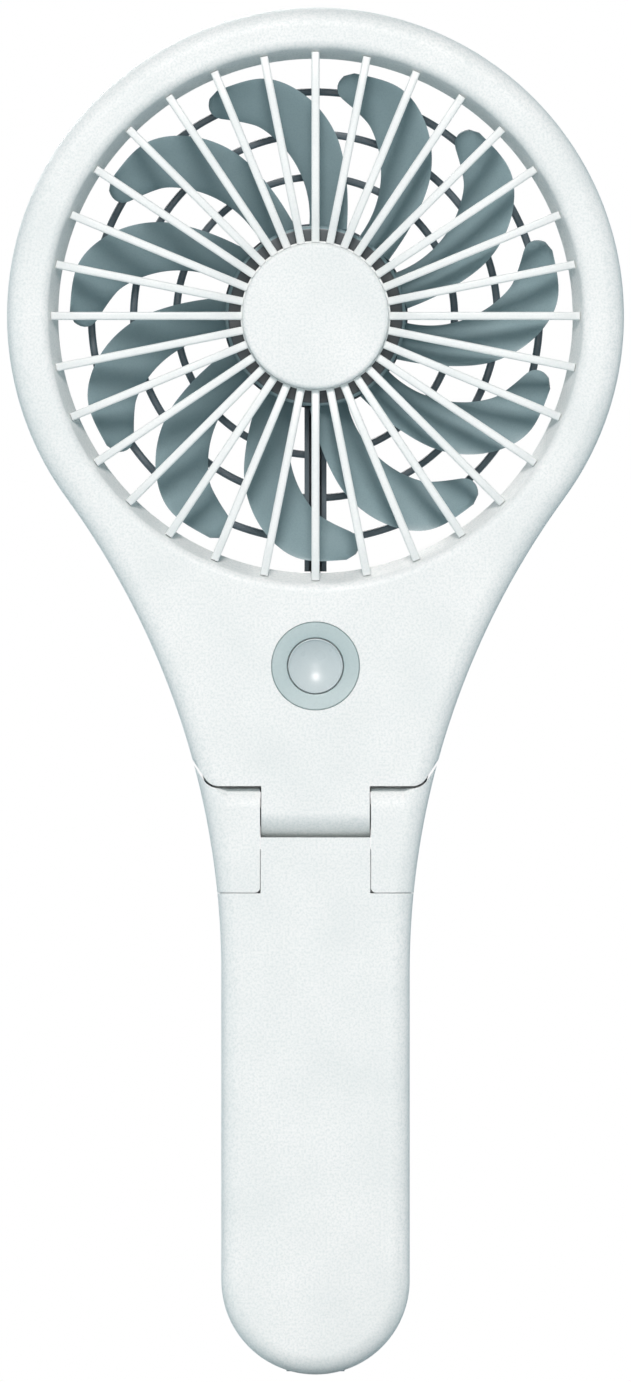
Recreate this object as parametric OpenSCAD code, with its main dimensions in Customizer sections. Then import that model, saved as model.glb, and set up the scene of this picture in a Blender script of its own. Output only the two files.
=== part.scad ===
// Folding handheld fan: a ring-shaped head with a spoked front grille and an
// eleven-blade impeller, hinged to a rechargeable handle that folds up behind it.
// The front faces -Y, +Z is up, and the origin is under the handle's round end.
// "Depth" below always means the distance back from the front plane.

/* [Overall] */
// Height of the shoulder line where neck and hinge covers meet, above the handle's round end
shoulder_z = 90.6; // [88:0.1:110]
// Length of the neck between the shoulder line and the ring
neck_h = 24.9; // [24:0.1:40]
// Outside diameter of the ring
ring_d = 95; // [79:0.5:116]
// Width of the ring's face between its outside and the air opening
ring_band = 7.9; // [7.5:0.1:12]
// Depth of the ring and neck
head_depth = 19; // [18.6:0.1:23]
// Width of the handle
handle_w = 29; // [26:0.5:35]
// Depth of the handle
handle_depth = 22; // [21.8:0.1:27]
// Radius of the neck's hollow flanks
flank_r = 124; // [110:1:150]

/* [Shells] */
// Wall thickness of the moulded shells
wall = 1.6; // [1.3:0.1:1.7]
// Rounding of the outer edges at the front
edge_r = 3; // [2:0.1:3.2]
// Rounding of the outer edges at the back
back_edge_r = 2.4; // [1.5:0.1:3]
// Depth of the seam between front and rear shells
seam_depth = 11; // [10:0.1:11.5]
// Radial width of the rounded inner lip of the ring
lip_w = 3; // [2.6:0.1:3.2]
// Depth of the rounded inner lip of the ring
lip_depth = 4.2; // [3.6:0.1:4.4]
// Thickness of the ring's wall around the opening
bore_wall = 1.6; // [1.3:0.1:1.8]

/* [Front grille] */
// Number of spokes
spoke_count = 32; // [16:2:40]
// Width of a spoke
spoke_w = 1.25; // [1:0.05:1.6]
// Depth at which the spokes end at the back
spoke_back = 3.38; // [3:0.01:3.5]
// Radius of the hub cap
cap_r = 11.3; // [10:0.1:12.5]
// Depth of the hub cap
cap_depth = 2.2; // [1.8:0.1:2.4]
// Width by which the grille's hub stands out past the cap
grille_hub_rim = 0.25; // [0.1:0.05:0.6]

/* [Impeller] */
// Number of blades
blade_count = 11; // [7:1:13]
// Air gap between the blade tips and the opening
tip_gap = 1.75; // [1:0.05:4]
// Radius of the impeller's hub
hub_r = 13.9; // [13.6:0.1:15]
// Blade thickness
blade_t = 0.9; // [0.7:0.1:1.2]
// Clock angle of the first blade tip
blade_clock = 52.2; // [0:0.1:360]
// Air gap between grille and impeller hub
hub_gap = 0.4; // [0.3:0.1:0.8]

/* [Rear guard] */
// Width of the guard's rings
guard_bar = 1.15; // [0.9:0.05:1.5]
// Distance of the outer guard ring inside the opening
guard_inset_1 = 5.1; // [4:0.1:7]
// Distance of the middle guard ring inside the opening
guard_inset_2 = 11.6; // [9:0.1:14]
// Distance of the inner guard ring inside the opening
guard_inset_3 = 18.2; // [15:0.1:21]
// Number of guard ribs
rib_count = 16; // [8:2:20]
// Width of the lead channel that carries the motor lead
channel_w = 3.4; // [3:0.1:5]

/* [Button] */
// Distance of the button's centre below the ring
button_drop = 6.4; // [5:0.1:9]
// Radius of the button
button_r = 4.34; // [3.6:0.02:5]
// Outer radius of the bezel
bezel_r = 6.8; // [6:0.1:8]
// Travel of the button
button_travel = 0.5; // [0.3:0.05:0.6]

/* [Fold hinge] */
// Width of the tongue between the hinge covers
tongue_w = 17; // [15:0.5:18]
// Radius of the hinge barrel
barrel_r = 4.4; // [4.2:0.1:5]
// Gap between the folded handle and the back of the head
fold_gap = 0.6; // [0.4:0.1:1.5]
// Clearance between parts that swing past each other
swing_gap = 0.3; // [0.25:0.05:0.5]
// Height of a hinge cover's flat side below the shoulder line
cover_h = 16.4; // [14:0.1:18]
// Radius of the friction pin
pin_r = 1.5; // [1.2:0.1:1.7]
// Outer radius of the hollow bush
bush_r = 2; // [1.8:0.1:2.2]
// Bore radius of the hollow bush
bush_bore_r = 1.3; // [1.2:0.05:1.4]
// Radial clearance of the pin and bush in the barrel
pin_fit = 0.05; // [0.02:0.01:0.1]

/* [Battery and charging] */
// Diameter of the cell
cell_d = 18.3; // [14:0.1:18.3]
// Length of the cell
cell_len = 50; // [40:1:52]
// Height of the cell's lower end
cell_z = 17; // [15:0.5:18]
// Height of the charge board
charge_board_h = 12; // [10:0.5:13]
// Width of the charging socket
socket_w = 8.94; // [8.9:0.01:9]
// Depth of the charging socket
socket_t = 3.2; // [3.1:0.01:3.3]
// Length of the charging socket
socket_len = 7.3; // [6.8:0.1:7.4]

/* [Hidden] */
$fn = 64;
far = 400;
// Gap left on each side of an inner piece that drops into a pocket
fit = 0.05;

ring_r = ring_d / 2;
opening_r = ring_r - ring_band;
blade_tip_r = opening_r - tip_gap;
neck_top_z = shoulder_z + neck_h;
ring_z = neck_top_z + ring_r;
half_w = handle_w / 2;
button_z = neck_top_z - button_drop;

// Depths behind the button: its stem, the plunger and the board
stem_back = 6.3;
plunger_back = stem_back + 1.5;
board_front = 9.4;
board_t = 1.1;
post_r = 1.2;
post_pin_r = 0.65;
board_post_places = [for (x = [-7.6, 7.6], z = [-9.5, 5]) [x, button_z + z]];

// The fold axis lies where the folded handle's back rests just behind the head's back
axis_depth = (head_depth + handle_depth + fold_gap) / 2;
total_depth = axis_depth + barrel_r;
front_y = -total_depth / 2;
axis_z = shoulder_z - barrel_r - swing_gap;
axis_y = front_y + axis_depth;

// Flank arcs: tangent to the handle's sides and to the ring
flank_x = half_w + flank_r;
flank_z = ring_z - sqrt(pow(ring_r + flank_r, 2) - pow(flank_x, 2));
flank_angle = atan2(ring_z - flank_z, flank_x);

// Tongue and handle top
tongue_front_r = 6.1;
tongue_bottom = axis_z - barrel_r;
tongue_half = tongue_w / 2 - swing_gap / 2;
// Height of the thrust faces on the tongue's sides
thrust = 0.1;
seat_z = tongue_bottom - swing_gap;
lip_z = seat_z + 1.5;
cover_z = shoulder_z - cover_h;
cover_half = tongue_w / 2 + fit;
horn_corner_x = tongue_w / 2 + 7.77;
horn_slope = 57;
horn_r = 2.6;

// Depth stack of the head
spoke_front = 0.25;
grille_hub_back = cap_depth + 1.6;
hub_front = grille_hub_back + hub_gap;
blade_front = hub_front + 0.5;
blade_back = blade_front + 7.6;
cup_front = hub_front + 0.85;
cup_back = cup_front + 8.6;
guard_front = 15.4;
channel_front = blade_back + 0.9;
guard_plate_back = guard_front + 2.4;
guard_rim_depth = 1.9;
guard_rim_front = head_depth - guard_rim_depth;
guard_rim_r = opening_r + 2.4;
motor_plate_front = guard_front - 1.2;
ring_cavity_back = guard_rim_front - wall;

channel_wall = 0.7;
groove_half = channel_w / 2 - channel_wall;

// Motor
cup_r = hub_r - 1.05;
cup_wall = 0.8;
magnet_t = 1.1;
magnet_r = cup_r - cup_wall;
stator_r = magnet_r - magnet_t - 0.4;
stator_front = cup_front + 2.2;
stator_back = stator_front + 4.8;
tube_r = 3;
bush_outer_r = 2.2;
shaft_r = 1;
shaft_back = guard_front + 1;
motor_lead_d = guard_front + 0.7;
slot_count = 9;
motor_screw_r = 7.5;

// Screws
screw_r = 1;
screw_head_r = 1.9;
screw_head_t = 1.4;
plug_t = 0.6;
neck_screw_x = 13;
neck_screw_z = neck_top_z - 13.5;
ring_screw_a = 26.823;
ring_screw_x = (ring_r + 2.365) * sin(ring_screw_a);
ring_screw_z = ring_z - (ring_r + 2.365) * cos(ring_screw_a);
head_screw_places = [for (side = [-1, 1], p = [[neck_screw_x, neck_screw_z], [ring_screw_x, ring_screw_z]])
    [side * p[0], p[1]]];
handle_screw_places = [[-8.6, 11.2], [8.6, 11.2], [0, cell_z + cell_len + 4.4]];
boss_r = 2.6;
bracket_screw_z = [cover_z - 9, cover_z - 4.5];
bracket_screw_d = 17.2;

// Hinge metalwork
bracket_t = 1.2;
bracket_x = tongue_w / 2 + 1.1;
eye_r = 3;
bracket_front = 14.2;
bracket_back = handle_depth - wall - 0.2;
bracket_foot_z = cover_z - 11.5;
bracket_screw_end = bracket_x + bracket_t + 1.2;

// Depths of the way past the hinge brackets for the lead
lead_way_front = 11.6;
lead_way_back = 13.9;

// Cell and charge board
cell_depth = handle_depth / 2;
cradle_t = 1.5;
cradle_z = cell_z - cradle_t;
shelf_t = 1;
light_r = 1.1;
light_z = cradle_z - 1.9;
charge_board_d = seam_depth + 1.7;
charge_board_t = 1;
charge_board_z = 3;
socket_depth = charge_board_d - socket_t / 2;

// ---------------------------------------------------------------- helpers

// Extrudes an outline drawn in X and Z from one depth to a greater one
module plate(from, to) {
    translate([0, front_y + to, 0])
        rotate([90, 0, 0])
            linear_extrude(to - from)
                children();
}

// Revolves a profile of [radius, depth] points about an axis along Y
module turned(points, x = 0, z = ring_z, angle = 360, start = 0) {
    translate([x, front_y, z])
        rotate([90, 0, 0])
            rotate_extrude(angle = angle, start = start, $fn = 128)
                polygon([for (p = points) [p[0], -p[1]]]);
}

// Round bar along Y between two depths
module rod(from, to, r, x = 0, z = ring_z) {
    translate([x, front_y + from, z])
        rotate([-90, 0, 0])
            cylinder(r = r, h = to - from);
}

// Tube along Y between two depths
module tube(from, to, r_out, r_in, x = 0, z = ring_z) {
    difference() {
        rod(from, to, r_out, x, z);
        rod(from - 1, to + 1, r_in, x, z);
    }
}

// Round bar along X at a depth and height
module cross_rod(x0, x1, r, depth = axis_depth, z = axis_z) {
    translate([x0, front_y + depth, z])
        rotate([0, 90, 0])
            cylinder(r = r, h = x1 - x0);
}

// Box given by its width range, depth range and height range
module block(x0, x1, d0, d1, z0, z1) {
    translate([x0, front_y + d0, z0])
        cube([x1 - x0, d1 - d0, z1 - z0]);
}

// Extrudes a side profile drawn in depth and Z from x0 to x1
module side_plate(x0, x1) {
    translate([x0, front_y, 0])
        rotate([90, 0, 90])
            linear_extrude(x1 - x0)
                children();
}

// Points of a circular arc
function arc(cx, cy, r, from, to, n = 8) =
    [for (i = [0 : n]) [cx + r * cos(from + (to - from) * i / n), cy + r * sin(from + (to - from) * i / n)]];

// ---------------------------------------------------------------- outline

// Steps along the ring, each flank and the round end
ring_steps = 64;
flank_steps = 12;
end_steps = 24;

// Points of the fan's front outline, set in by an amount: ring, left flank, round end, right flank
function outline_points(inset) = concat(
    open_arc(0, ring_z, ring_r - inset, -flank_angle, 180 + flank_angle, ring_steps),
    lower_points(inset, flank_angle, false));

// The outline's lower part, with its flanks up to an angle
function lower_points(inset, top, closed = true) = concat(
    open_arc(-flank_x, flank_z, flank_r + inset, top, 0, flank_steps, true),
    open_arc(0, half_w, half_w - inset, 180, 360, end_steps, true),
    open_arc(flank_x, flank_z, flank_r + inset, 180, 180 - top, flank_steps, closed));

// Arc that leaves out its last point unless it is closed
function open_arc(cx, cy, r, from, to, n, closed = false) = [for (i = [0 : closed ? n : n - 1])
    let (a = from + (to - from) * i / n) [cx + r * cos(a), cy + r * sin(a)]];

module outline(inset = 0) {
    polygon(outline_points(inset));
}

// Inset and depth of each level of a solid with rounded front and back edges
function edge_levels(depth) = concat(
    [for (i = [0 : 5]) let (a = 90 * i / 5) [edge_r * (1 - sin(a)), edge_r * (1 - cos(a))]],
    [for (i = [0 : 4]) let (a = 90 * i / 4) [back_edge_r * (1 - cos(a)),
        depth - back_edge_r * (1 - sin(a))]]);

// Angle on the flank arcs just above the horns of the hinge covers
horn_angle = asin((shoulder_z + 10 - flank_z) / flank_r);

// Solid with rounded front and back edges: the whole outline, or only its part below the horns.
// Its flat faces are strips between each point on the left and its mirror image on the right.
module blank(depth, whole = true) {
    levels = edge_levels(depth);
    rings = [for (level = levels) whole ? outline_points(level[0]) : lower_points(level[0], horn_angle)];
    n = len(rings[0]);
    last = len(levels) - 1;
    first = whole ? ring_steps / 2 : 0;
    apex = (whole ? ring_steps : 0) + flank_steps + 1 + end_steps / 2;
    function pair(k) = whole ? (ring_steps - k + n) % n : n - 1 - k;
    function strip(k) = k == apex - 1 ? [k, k + 1, pair(k)]
        : k == pair(k) ? [k, k + 1, pair(k + 1)] : [k, k + 1, pair(k + 1), pair(k)];
    points = [for (i = [0 : last], p = rings[i]) [p[0], front_y + levels[i][1], p[1]]];
    sides = [for (i = [0 : last - 1], j = [0 : n - 1]) let (k = (j + 1) % n)
        [i * n + j, i * n + k, (i + 1) * n + k, (i + 1) * n + j]];
    front = [for (k = [first : apex - 1]) let (f = strip(k)) [for (i = [len(f) - 1 : -1 : 0]) f[i]]];
    back = [for (k = [first : apex - 1]) [for (i = strip(k)) last * n + i]];
    polyhedron(points = points, faces = concat(front, sides, back));
}

// Right half of the line between neck and hinge cover, from the tongue out to past the outline
function horn_line(dx, dz) = let (cx = horn_corner_x - horn_r * tan(horn_slope / 2) + dx,
    cz = shoulder_z + horn_r + dz)
    concat(arc(cx, cz, horn_r, -90, -90 + horn_slope, 5),
        [[horn_corner_x + 14 + dx, shoulder_z + 14 * tan(horn_slope) + dz]]);

// Area of the head above the shoulder line
module head_area(dx = 0, dz = 0) {
    line = horn_line(dx, dz);
    n = len(line);
    top = line[n - 1][1];
    polygon(concat(line, [[far, top], [far, far], [-far, far], [-far, top]],
        [for (i = [n - 1 : -1 : 0]) [-line[i][0], line[i][1]]]));
}

// Area of one hinge cover, on the right
module cover_area() {
    line = horn_line(swing_gap / 2, -swing_gap);
    polygon(concat(arc(cover_half + 0.75, cover_z + 0.75, 0.75, 180, 270, 4),
        [[line[len(line) - 1][0], cover_z]], [for (i = [len(line) - 1 : -1 : 0]) line[i]],
        [[cover_half, shoulder_z - swing_gap]]));
}

// Side profile of the tongue: rounded front corner, flat underside
module tongue_profile(drop) {
    polygon(concat([[0, shoulder_z + drop], [0, tongue_bottom + tongue_front_r]],
        arc(tongue_front_r, tongue_bottom + tongue_front_r, tongue_front_r, 180, 270, 8),
        [[axis_depth, tongue_bottom], [axis_depth, axis_z], [head_depth, axis_z], [head_depth,
            shoulder_z + drop]]));
}

// Tongue with its barrel, at full size
module tongue() {
    side_plate(-tongue_half, tongue_half)
        tongue_profile(1);
    cross_rod(-tongue_half, tongue_half, barrel_r);
    cross_rod(-tongue_half - thrust, tongue_half + thrust, barrel_r - 0.2);
}

// Hidden ribs that stand across the seams and keep light and dust out
rib_front = 5;
rib_back = 6.2;
rib_h = 0.9;
rib_edge = 0.35;
// Room behind a rib for the arc it leaves its groove on, and below it
rib_swing = 0.55;
rib_play = 0.3;

// Rib under the neck, along the shoulder line
module shoulder_rib() {
    plate(rib_front, rib_back)
        intersection() {
            outline(rib_edge);
            head_area(0.5, -rib_h);
        }
}

// Area of the rib beside and under one hinge cover, grown by an amount
module cover_rib_area(grow) {
    intersection() {
        outline(rib_edge - grow);
        union() {
            translate([cover_half - 0.4, cover_z - 1])
                square([0.4 + rib_h + grow, seat_z - 0.3 + grow - cover_z + 1]);
            translate([cover_half - 0.4, cover_z - 1])
                square([handle_w, 1 + rib_h + grow]);
        }
    }
}

// Depth range as a slab, for cutting a body in two at the seam
module slab(from, to) {
    block(-far / 2, far / 2, from, to, -far / 2, far);
}

// ---------------------------------------------------------------- head shells

// Points of the ring's inner lip, from the opening's wall to the front face: a steep cone, then a rounding
lip_r = 2;
lip_turn = 65;
lip_cone_w = lip_w - lip_r * sin(lip_turn);
lip_cone_front = lip_r * (1 - cos(lip_turn));
function lip_points() = concat([[opening_r, lip_depth]], [for (i = [5 : -1 : 0]) let (a = lip_turn * i / 5)
    [opening_r + lip_w - lip_r * sin(a), lip_r * (1 - cos(a))]]);

// Radius of the lip's cone at a depth
function lip_cone(d) = opening_r + lip_cone_w * (lip_depth - d) / (lip_depth - lip_cone_front);

module ring_opening() {
    turned(concat([[0, -1], [0, head_depth + 1], [guard_rim_r + fit, head_depth + 1],
        [guard_rim_r + fit, guard_rim_front], [opening_r, guard_rim_front]], lip_points(),
        [[opening_r + lip_w, -1]]));
}

module head_cavity() {
    // Round duct inside the ring
    turned([[opening_r + bore_wall, wall + 1], [opening_r + bore_wall + lip_w, wall], [ring_r - wall,
        wall + 0.8],
        [ring_r - wall, ring_cavity_back], [opening_r + bore_wall, ring_cavity_back]]);
    // Neck chamber for the electronics
    difference() {
        plate(wall, head_depth - wall)
            intersection() {
                outline(wall + 0.4);
                head_area(-wall, wall);
                translate([-far / 2, 0])
                    square([far, ring_z - opening_r]);
            }
        rod(-1, head_depth + 1, guard_rim_r + wall);
    }
    // Opening between the ring's duct and the neck chamber
    block(-20, 20, wall + 1, ring_cavity_back, ring_z - guard_rim_r - wall - 2, ring_z - guard_rim_r + 1.2);
}

// Screw bosses in the head, between two depths
module head_bosses(from, to) {
    for (p = head_screw_places)
        rod(from, to, boss_r, p[0], p[1]);
}

module head_solid() {
    difference() {
        union() {
            intersection() {
                blank(head_depth);
                plate(-1, head_depth + 1)
                    head_area();
            }
            shoulder_rib();
            tongue();
        }
        ring_opening();
    }
}

// Bores in the hinge barrel and the way up for the lead
module barrel_bores() {
    cross_rod(-tongue_half - 1, -2, pin_r + pin_fit);
    cross_rod(2, tongue_half + 1, bush_r + pin_fit);
    translate([lead_up_x, axis_y, axis_z])
        rotate([lead_tilt, 0, 0])
            cylinder(r = 1.2, h = 11);
}

module head_front_shell() {
    color([0.96, 0.965, 0.96])
        difference() {
            union() {
                difference() {
                    intersection() {
                        head_solid();
                        slab(-1, seam_depth);
                    }
                    head_cavity();
                }
                head_bosses(wall - 0.2, seam_depth);
                // Posts whose pins carry the control board
                for (p = board_post_places) {
                    rod(wall - 0.2, board_front, post_r, p[0], p[1]);
                    rod(board_front - 0.2, seam_depth - 0.1, post_pin_r, p[0], p[1]);
                }
            }
            rod(-1, wall + 1, bezel_r + fit, 0, button_z);
            for (p = head_screw_places)
                rod(wall + 2, seam_depth + 1, screw_r - 0.15, p[0], p[1]);
        }
}

module head_rear_shell() {
    color([0.95, 0.955, 0.95])
        difference() {
            union() {
                difference() {
                    intersection() {
                        head_solid();
                        slab(seam_depth, far);
                    }
                    head_cavity();
                }
                head_bosses(seam_depth, head_depth - wall + 0.2);
            }
            barrel_bores();
            for (p = head_screw_places) {
                rod(seam_depth - 1, head_depth + 1, screw_r + 0.15, p[0], p[1]);
                rod(head_depth - plug_t - screw_head_t - 0.1, head_depth + 1, screw_head_r + 0.2, p[0], p[1]);
            }
            // Way for the motor lead through the ring's wall
            translate([0, front_y + motor_lead_d, ring_z - guard_rim_r - wall - 3])
                cylinder(r = 1.3, h = 8);
        }
}

// ---------------------------------------------------------------- grille

// Side view of one spoke as [radius, depth] points
spoke_end = 1.4;
spoke_side = [[cap_r + 0.05, spoke_back], [cap_r + 0.05, 1.7], [cap_r + 2.3, 1.05], [cap_r + 4.9, 0.6],
    [cap_r + 9, 0.33], [cap_r + 14, spoke_front], [opening_r - 6, spoke_front], [opening_r - 3, 0.36],
    [opening_r - 0.8, 0.75], [opening_r + 0.5, 1.15], [lip_cone(spoke_end) - 0.02, spoke_end],
    [lip_cone(spoke_back) - 0.02, spoke_back]];

module front_grille() {
    color([0.95, 0.955, 0.95]) {
        for (i = [0 : spoke_count - 1])
            translate([0, front_y, ring_z])
                rotate([0, i * 360 / spoke_count, 0])
                    translate([0, 0, -spoke_w / 2])
                        linear_extrude(spoke_w)
                            polygon(spoke_side);
        rod(cap_depth, grille_hub_back, cap_r + grille_hub_rim);
    }
}

module hub_cap() {
    color([0.96, 0.965, 0.96])
        turned([[0, 0], [cap_r - 0.6, 0], [cap_r - 0.18, 0.18], [cap_r, 0.6], [cap_r, cap_depth], [0,
            cap_depth]]);
}

// ---------------------------------------------------------------- button

module button_bezel() {
    color([0.8, 0.85, 0.84])
        turned([[button_r + 0.25, 0.35], [bezel_r - 1.1, 0.12], [bezel_r, 0.05], [bezel_r, wall + 0.05],
            [bezel_r + 0.9, wall + 0.05], [bezel_r + 0.9, wall + 0.95], [button_r + 0.25, wall + 0.95]],
                z = button_z);
}

module power_button() {
    color([0.95, 0.955, 0.95])
        turned([[0, 1.1], [button_r * 0.5, 0.85], [button_r * 0.8, 0.45], [button_r - 0.3, 0.2], [button_r,
            0.45],
            [button_r, wall + 1.25], [button_r + 0.9, wall + 1.25], [button_r + 0.9, wall + 1.95],
            [1.6, wall + 1.95], [1.6, stem_back], [0, stem_back]], z = button_z);
}

module switch_plunger() {
    color([0.1, 0.1, 0.11])
        rod(stem_back, plunger_back, 1.4, 0, button_z);
}

module tact_switch() {
    color([0.2, 0.2, 0.22])
        difference() {
            block(-3, 3, stem_back + button_travel + 0.15, board_front, button_z - 3, button_z + 3);
            rod(5, plunger_back + button_travel + 0.2, 1.45, 0, button_z);
        }
}

module control_board() {
    color([0.08, 0.32, 0.2])
        difference() {
            block(-9, 9, board_front, board_front + board_t, button_z - 13, button_z + 7.5);
            for (p = board_post_places)
                rod(board_front - 1, board_front + board_t + 1, post_pin_r + fit, p[0], p[1]);
        }
}

// Components on the back of the control board
module speed_leds() {
    color([0.9, 0.9, 0.85])
        for (x = [-4.5, -1.5, 1.5, 4.5])
            block(x - 0.8, x + 0.8, board_front - 0.8, board_front, button_z - 9, button_z - 8.2);
}

// ---------------------------------------------------------------- impeller

// One blade in plan, with its tip nose on the local X axis. The leading and trailing
// outlines are each two arcs; t runs from the root to the tip.
// Both are drawn for one hub and tip radius, and stretched along the radius to fit the hub and tips in use
drawn_hub_r = 13.9;
drawn_tip_r = 37.85;
blade_stretch = (blade_tip_r - hub_r) / (drawn_tip_r - drawn_hub_r);
function stretched(p) = p * (hub_r + (norm(p) - drawn_hub_r) * blade_stretch) / norm(p);
function on_arc(c, r, from, to, t) =
    stretched([c[0] + r * cos(from + (to - from) * t), c[1] + r * sin(from + (to - from) * t)]);
function convex_edge(t) = t < 0.5 ? on_arc([30.4, 21.2], 37.92, -123.4, -101.8, t / 0.5)
    : t < 0.85 ? on_arc([24.5, -0.6], 15.3, -98, -38.5, (t - 0.5) / 0.35)
    : on_arc([0, 0], drawn_tip_r, -14.6, -4, (t - 0.85) / 0.15);
function concave_edge(t) = t < 0.6 ? on_arc([21.46, 7.9], 16.07, -124, -57.5, t / 0.6)
    : t < 0.9 ? on_arc([7.7, 15.6], 30.86, -43, -32.2, (t - 0.6) / 0.3)
    : on_arc([35.4, -2.3], 2.17, 138, 35, (t - 0.9) / 0.1);
blade_steps = [0, 0.12, 0.25, 0.38, 0.5, 0.6, 0.7, 0.78, 0.85, 0.9, 0.95, 1];
chord_steps = [0, 0.33, 0.67, 1];

// Depth of the blade's middle surface: the convex edge stands forward, the concave edge lies back,
// and the blade is shallower towards its tip
blade_lead = blade_front + blade_t + 0.2;
root_rise = blade_back - blade_t / 2 - blade_lead;
function blade_depth(u, t) = blade_lead + 1.2 * t + (root_rise - 2.4 * t) * (u + 0.2 * u * (1 - u));

function blade_point(u, t, side) = let (a = convex_edge(t), b = concave_edge(t), p = a + (b - a) * u)
    [p[0], blade_depth(u, t) + side * blade_t / 2, p[1]];

module blade() {
    n = len(blade_steps);
    m = len(chord_steps);
    points = [for (side = [-1, 1], t = blade_steps, u = chord_steps) blade_point(u, t, side)];
    function at(side, i, j) = side * n * m + i * m + j;
    front = [for (i = [0 : n - 2], j = [0 : m - 2], k = [0, 1])
        k == 0 ? [at(0, i, j), at(0, i, j + 1), at(0, i + 1, j)]
            : [at(0, i, j + 1), at(0, i + 1, j + 1), at(0, i + 1, j)]];
    back = [for (i = [0 : n - 2], j = [0 : m - 2], k = [0, 1])
        k == 0 ? [at(1, i, j), at(1, i + 1, j), at(1, i, j + 1)]
            : [at(1, i, j + 1), at(1, i + 1, j), at(1, i + 1, j + 1)]];
    sides = [for (j = [0, m - 1], i = [0 : n - 2], k = [0, 1])
        j == 0 ? (k == 0 ? [at(0, i, j), at(0, i + 1, j), at(1, i, j)] : [at(1, i, j), at(0, i + 1, j),
            at(1, i + 1, j)])
            : (k == 0 ? [at(0, i, j), at(1, i, j), at(0, i + 1, j)] : [at(1, i, j), at(1, i + 1, j), at(0,
                i + 1, j)])];
    ends = [for (i = [0, n - 1], j = [0 : m - 2], k = [0, 1])
        i == 0 ? (k == 0 ? [at(0, i, j), at(1, i, j), at(0, i, j + 1)] : [at(1, i, j), at(1, i, j + 1),
            at(0, i, j + 1)])
            : (k == 0 ? [at(0, i, j), at(0, i, j + 1), at(1, i, j)] : [at(1, i, j), at(0, i, j + 1), at(1,
                i, j + 1)])];
    polyhedron(points = points, faces = concat(front, back, sides, ends));
}

module impeller() {
    color([0.62, 0.7, 0.72]) {
        turned([[0, hub_front], [hub_r - 0.7, hub_front], [hub_r, hub_front + 0.7], [hub_r, cup_back - 0.4],
            [cup_r, cup_back - 0.4], [cup_r, cup_front], [0, cup_front]]);
        for (i = [0 : blade_count - 1])
            translate([0, front_y, ring_z])
                rotate([0, -blade_clock - i * 360 / blade_count, 0])
                    blade();
    }
}

module rotor_cup() {
    color([0.6, 0.6, 0.62])
        turned([[shaft_r, cup_front], [cup_r, cup_front], [cup_r, cup_back], [cup_r - cup_wall, cup_back],
            [cup_r - cup_wall, cup_front + cup_wall], [shaft_r + 0.9, cup_front + cup_wall],
            [shaft_r + 0.9, cup_front + 1.6], [shaft_r, cup_front + 1.6]]);
}

module magnet_ring() {
    color([0.15, 0.15, 0.16])
        tube(cup_front + cup_wall + 0.2, cup_back - 0.3, magnet_r, magnet_r - magnet_t);
}

module motor_shaft() {
    color([0.75, 0.76, 0.78])
        difference() {
            rod(cup_front, shaft_back, shaft_r);
            tube(shaft_back - 0.9, shaft_back - 0.5, shaft_r + 1, shaft_r - 0.25);
        }
}

module shaft_clip() {
    color([0.3, 0.3, 0.32])
        difference() {
            tube(shaft_back - 0.88, shaft_back - 0.52, 1.7, shaft_r - 0.24);
            block(-0.5, 0.5, shaft_back - 2, shaft_back + 1, ring_z - 3, ring_z);
        }
}

// ---------------------------------------------------------------- motor stator

module stator_core() {
    color([0.45, 0.46, 0.48])
        difference() {
            rod(stator_front, stator_back, stator_r);
            rod(stator_front - 1, stator_back + 1, tube_r);
            for (i = [0 : slot_count - 1])
                translate([0, front_y + stator_front - 1, ring_z])
                    rotate([0, i * 360 / slot_count, 0])
                        union() {
                            translate([tube_r + 1.4, 0, -0.35])
                                cube([stator_r, stator_back - stator_front + 2, 0.7]);
                            translate([tube_r + 1.4, 0, -1.25])
                                cube([stator_r - tube_r - 2.7, stator_back - stator_front + 2, 2.5]);
                        }
        }
}

// Copper coils, one round each tooth, shown as the end turns in front of and behind the core
module stator_windings() {
    color([0.72, 0.4, 0.2])
        for (i = [0 : slot_count - 1], d = [stator_front - 1.25, stator_back + 0.05])
            translate([0, front_y + d, ring_z])
                rotate([0, (i + 0.5) * 360 / slot_count, 0])
                    translate([tube_r + 1.6, 0, -1.2])
                        cube([stator_r - tube_r - 3, 1.2, 2.4]);
}

module bearing_tube() {
    color([0.8, 0.66, 0.3])
        tube(stator_front - 0.9, guard_front, tube_r, bush_outer_r);
}

module front_bush() {
    color([0.55, 0.42, 0.25])
        tube(stator_front - 0.5, stator_front + 2, bush_outer_r, shaft_r + 0.04);
}

module rear_bush() {
    color([0.55, 0.42, 0.25])
        tube(guard_front - 2.2, guard_front, bush_outer_r, shaft_r + 0.04);
}

module motor_board() {
    color([0.1, 0.3, 0.2])
        difference() {
            tube(motor_plate_front, guard_front, stator_r - 0.6, tube_r);
            for (i = [0 : 2])
                rod(motor_plate_front - 1, guard_front + 1, screw_r - 0.25,
                    motor_screw_r * sin(i * 120), ring_z + motor_screw_r * cos(i * 120));
        }
}

// ---------------------------------------------------------------- rear guard

// Side view of one guard rib as [radius, depth] points; its outer end hooks back into the rim
guard_seat = guard_rim_front + 0.02;
rib_w = 1;
rib_side = [[hub_r - 1, guard_front + 0.7], [opening_r - 0.1, guard_front + 0.7], [opening_r - 0.1,
    guard_seat],
    [opening_r + 0.5, guard_seat], [opening_r + 0.5, head_depth - 0.3], [opening_r - 2, guard_plate_back],
    [hub_r - 1, guard_plate_back]];

module guard_ring(r) {
    turned([[r - guard_bar / 2, guard_front + 0.9], [r, guard_front + 0.45], [r + guard_bar / 2,
        guard_front + 0.9],
        [r + guard_bar / 2, guard_plate_back - 0.2], [r - guard_bar / 2, guard_plate_back - 0.2]]);
}

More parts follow.
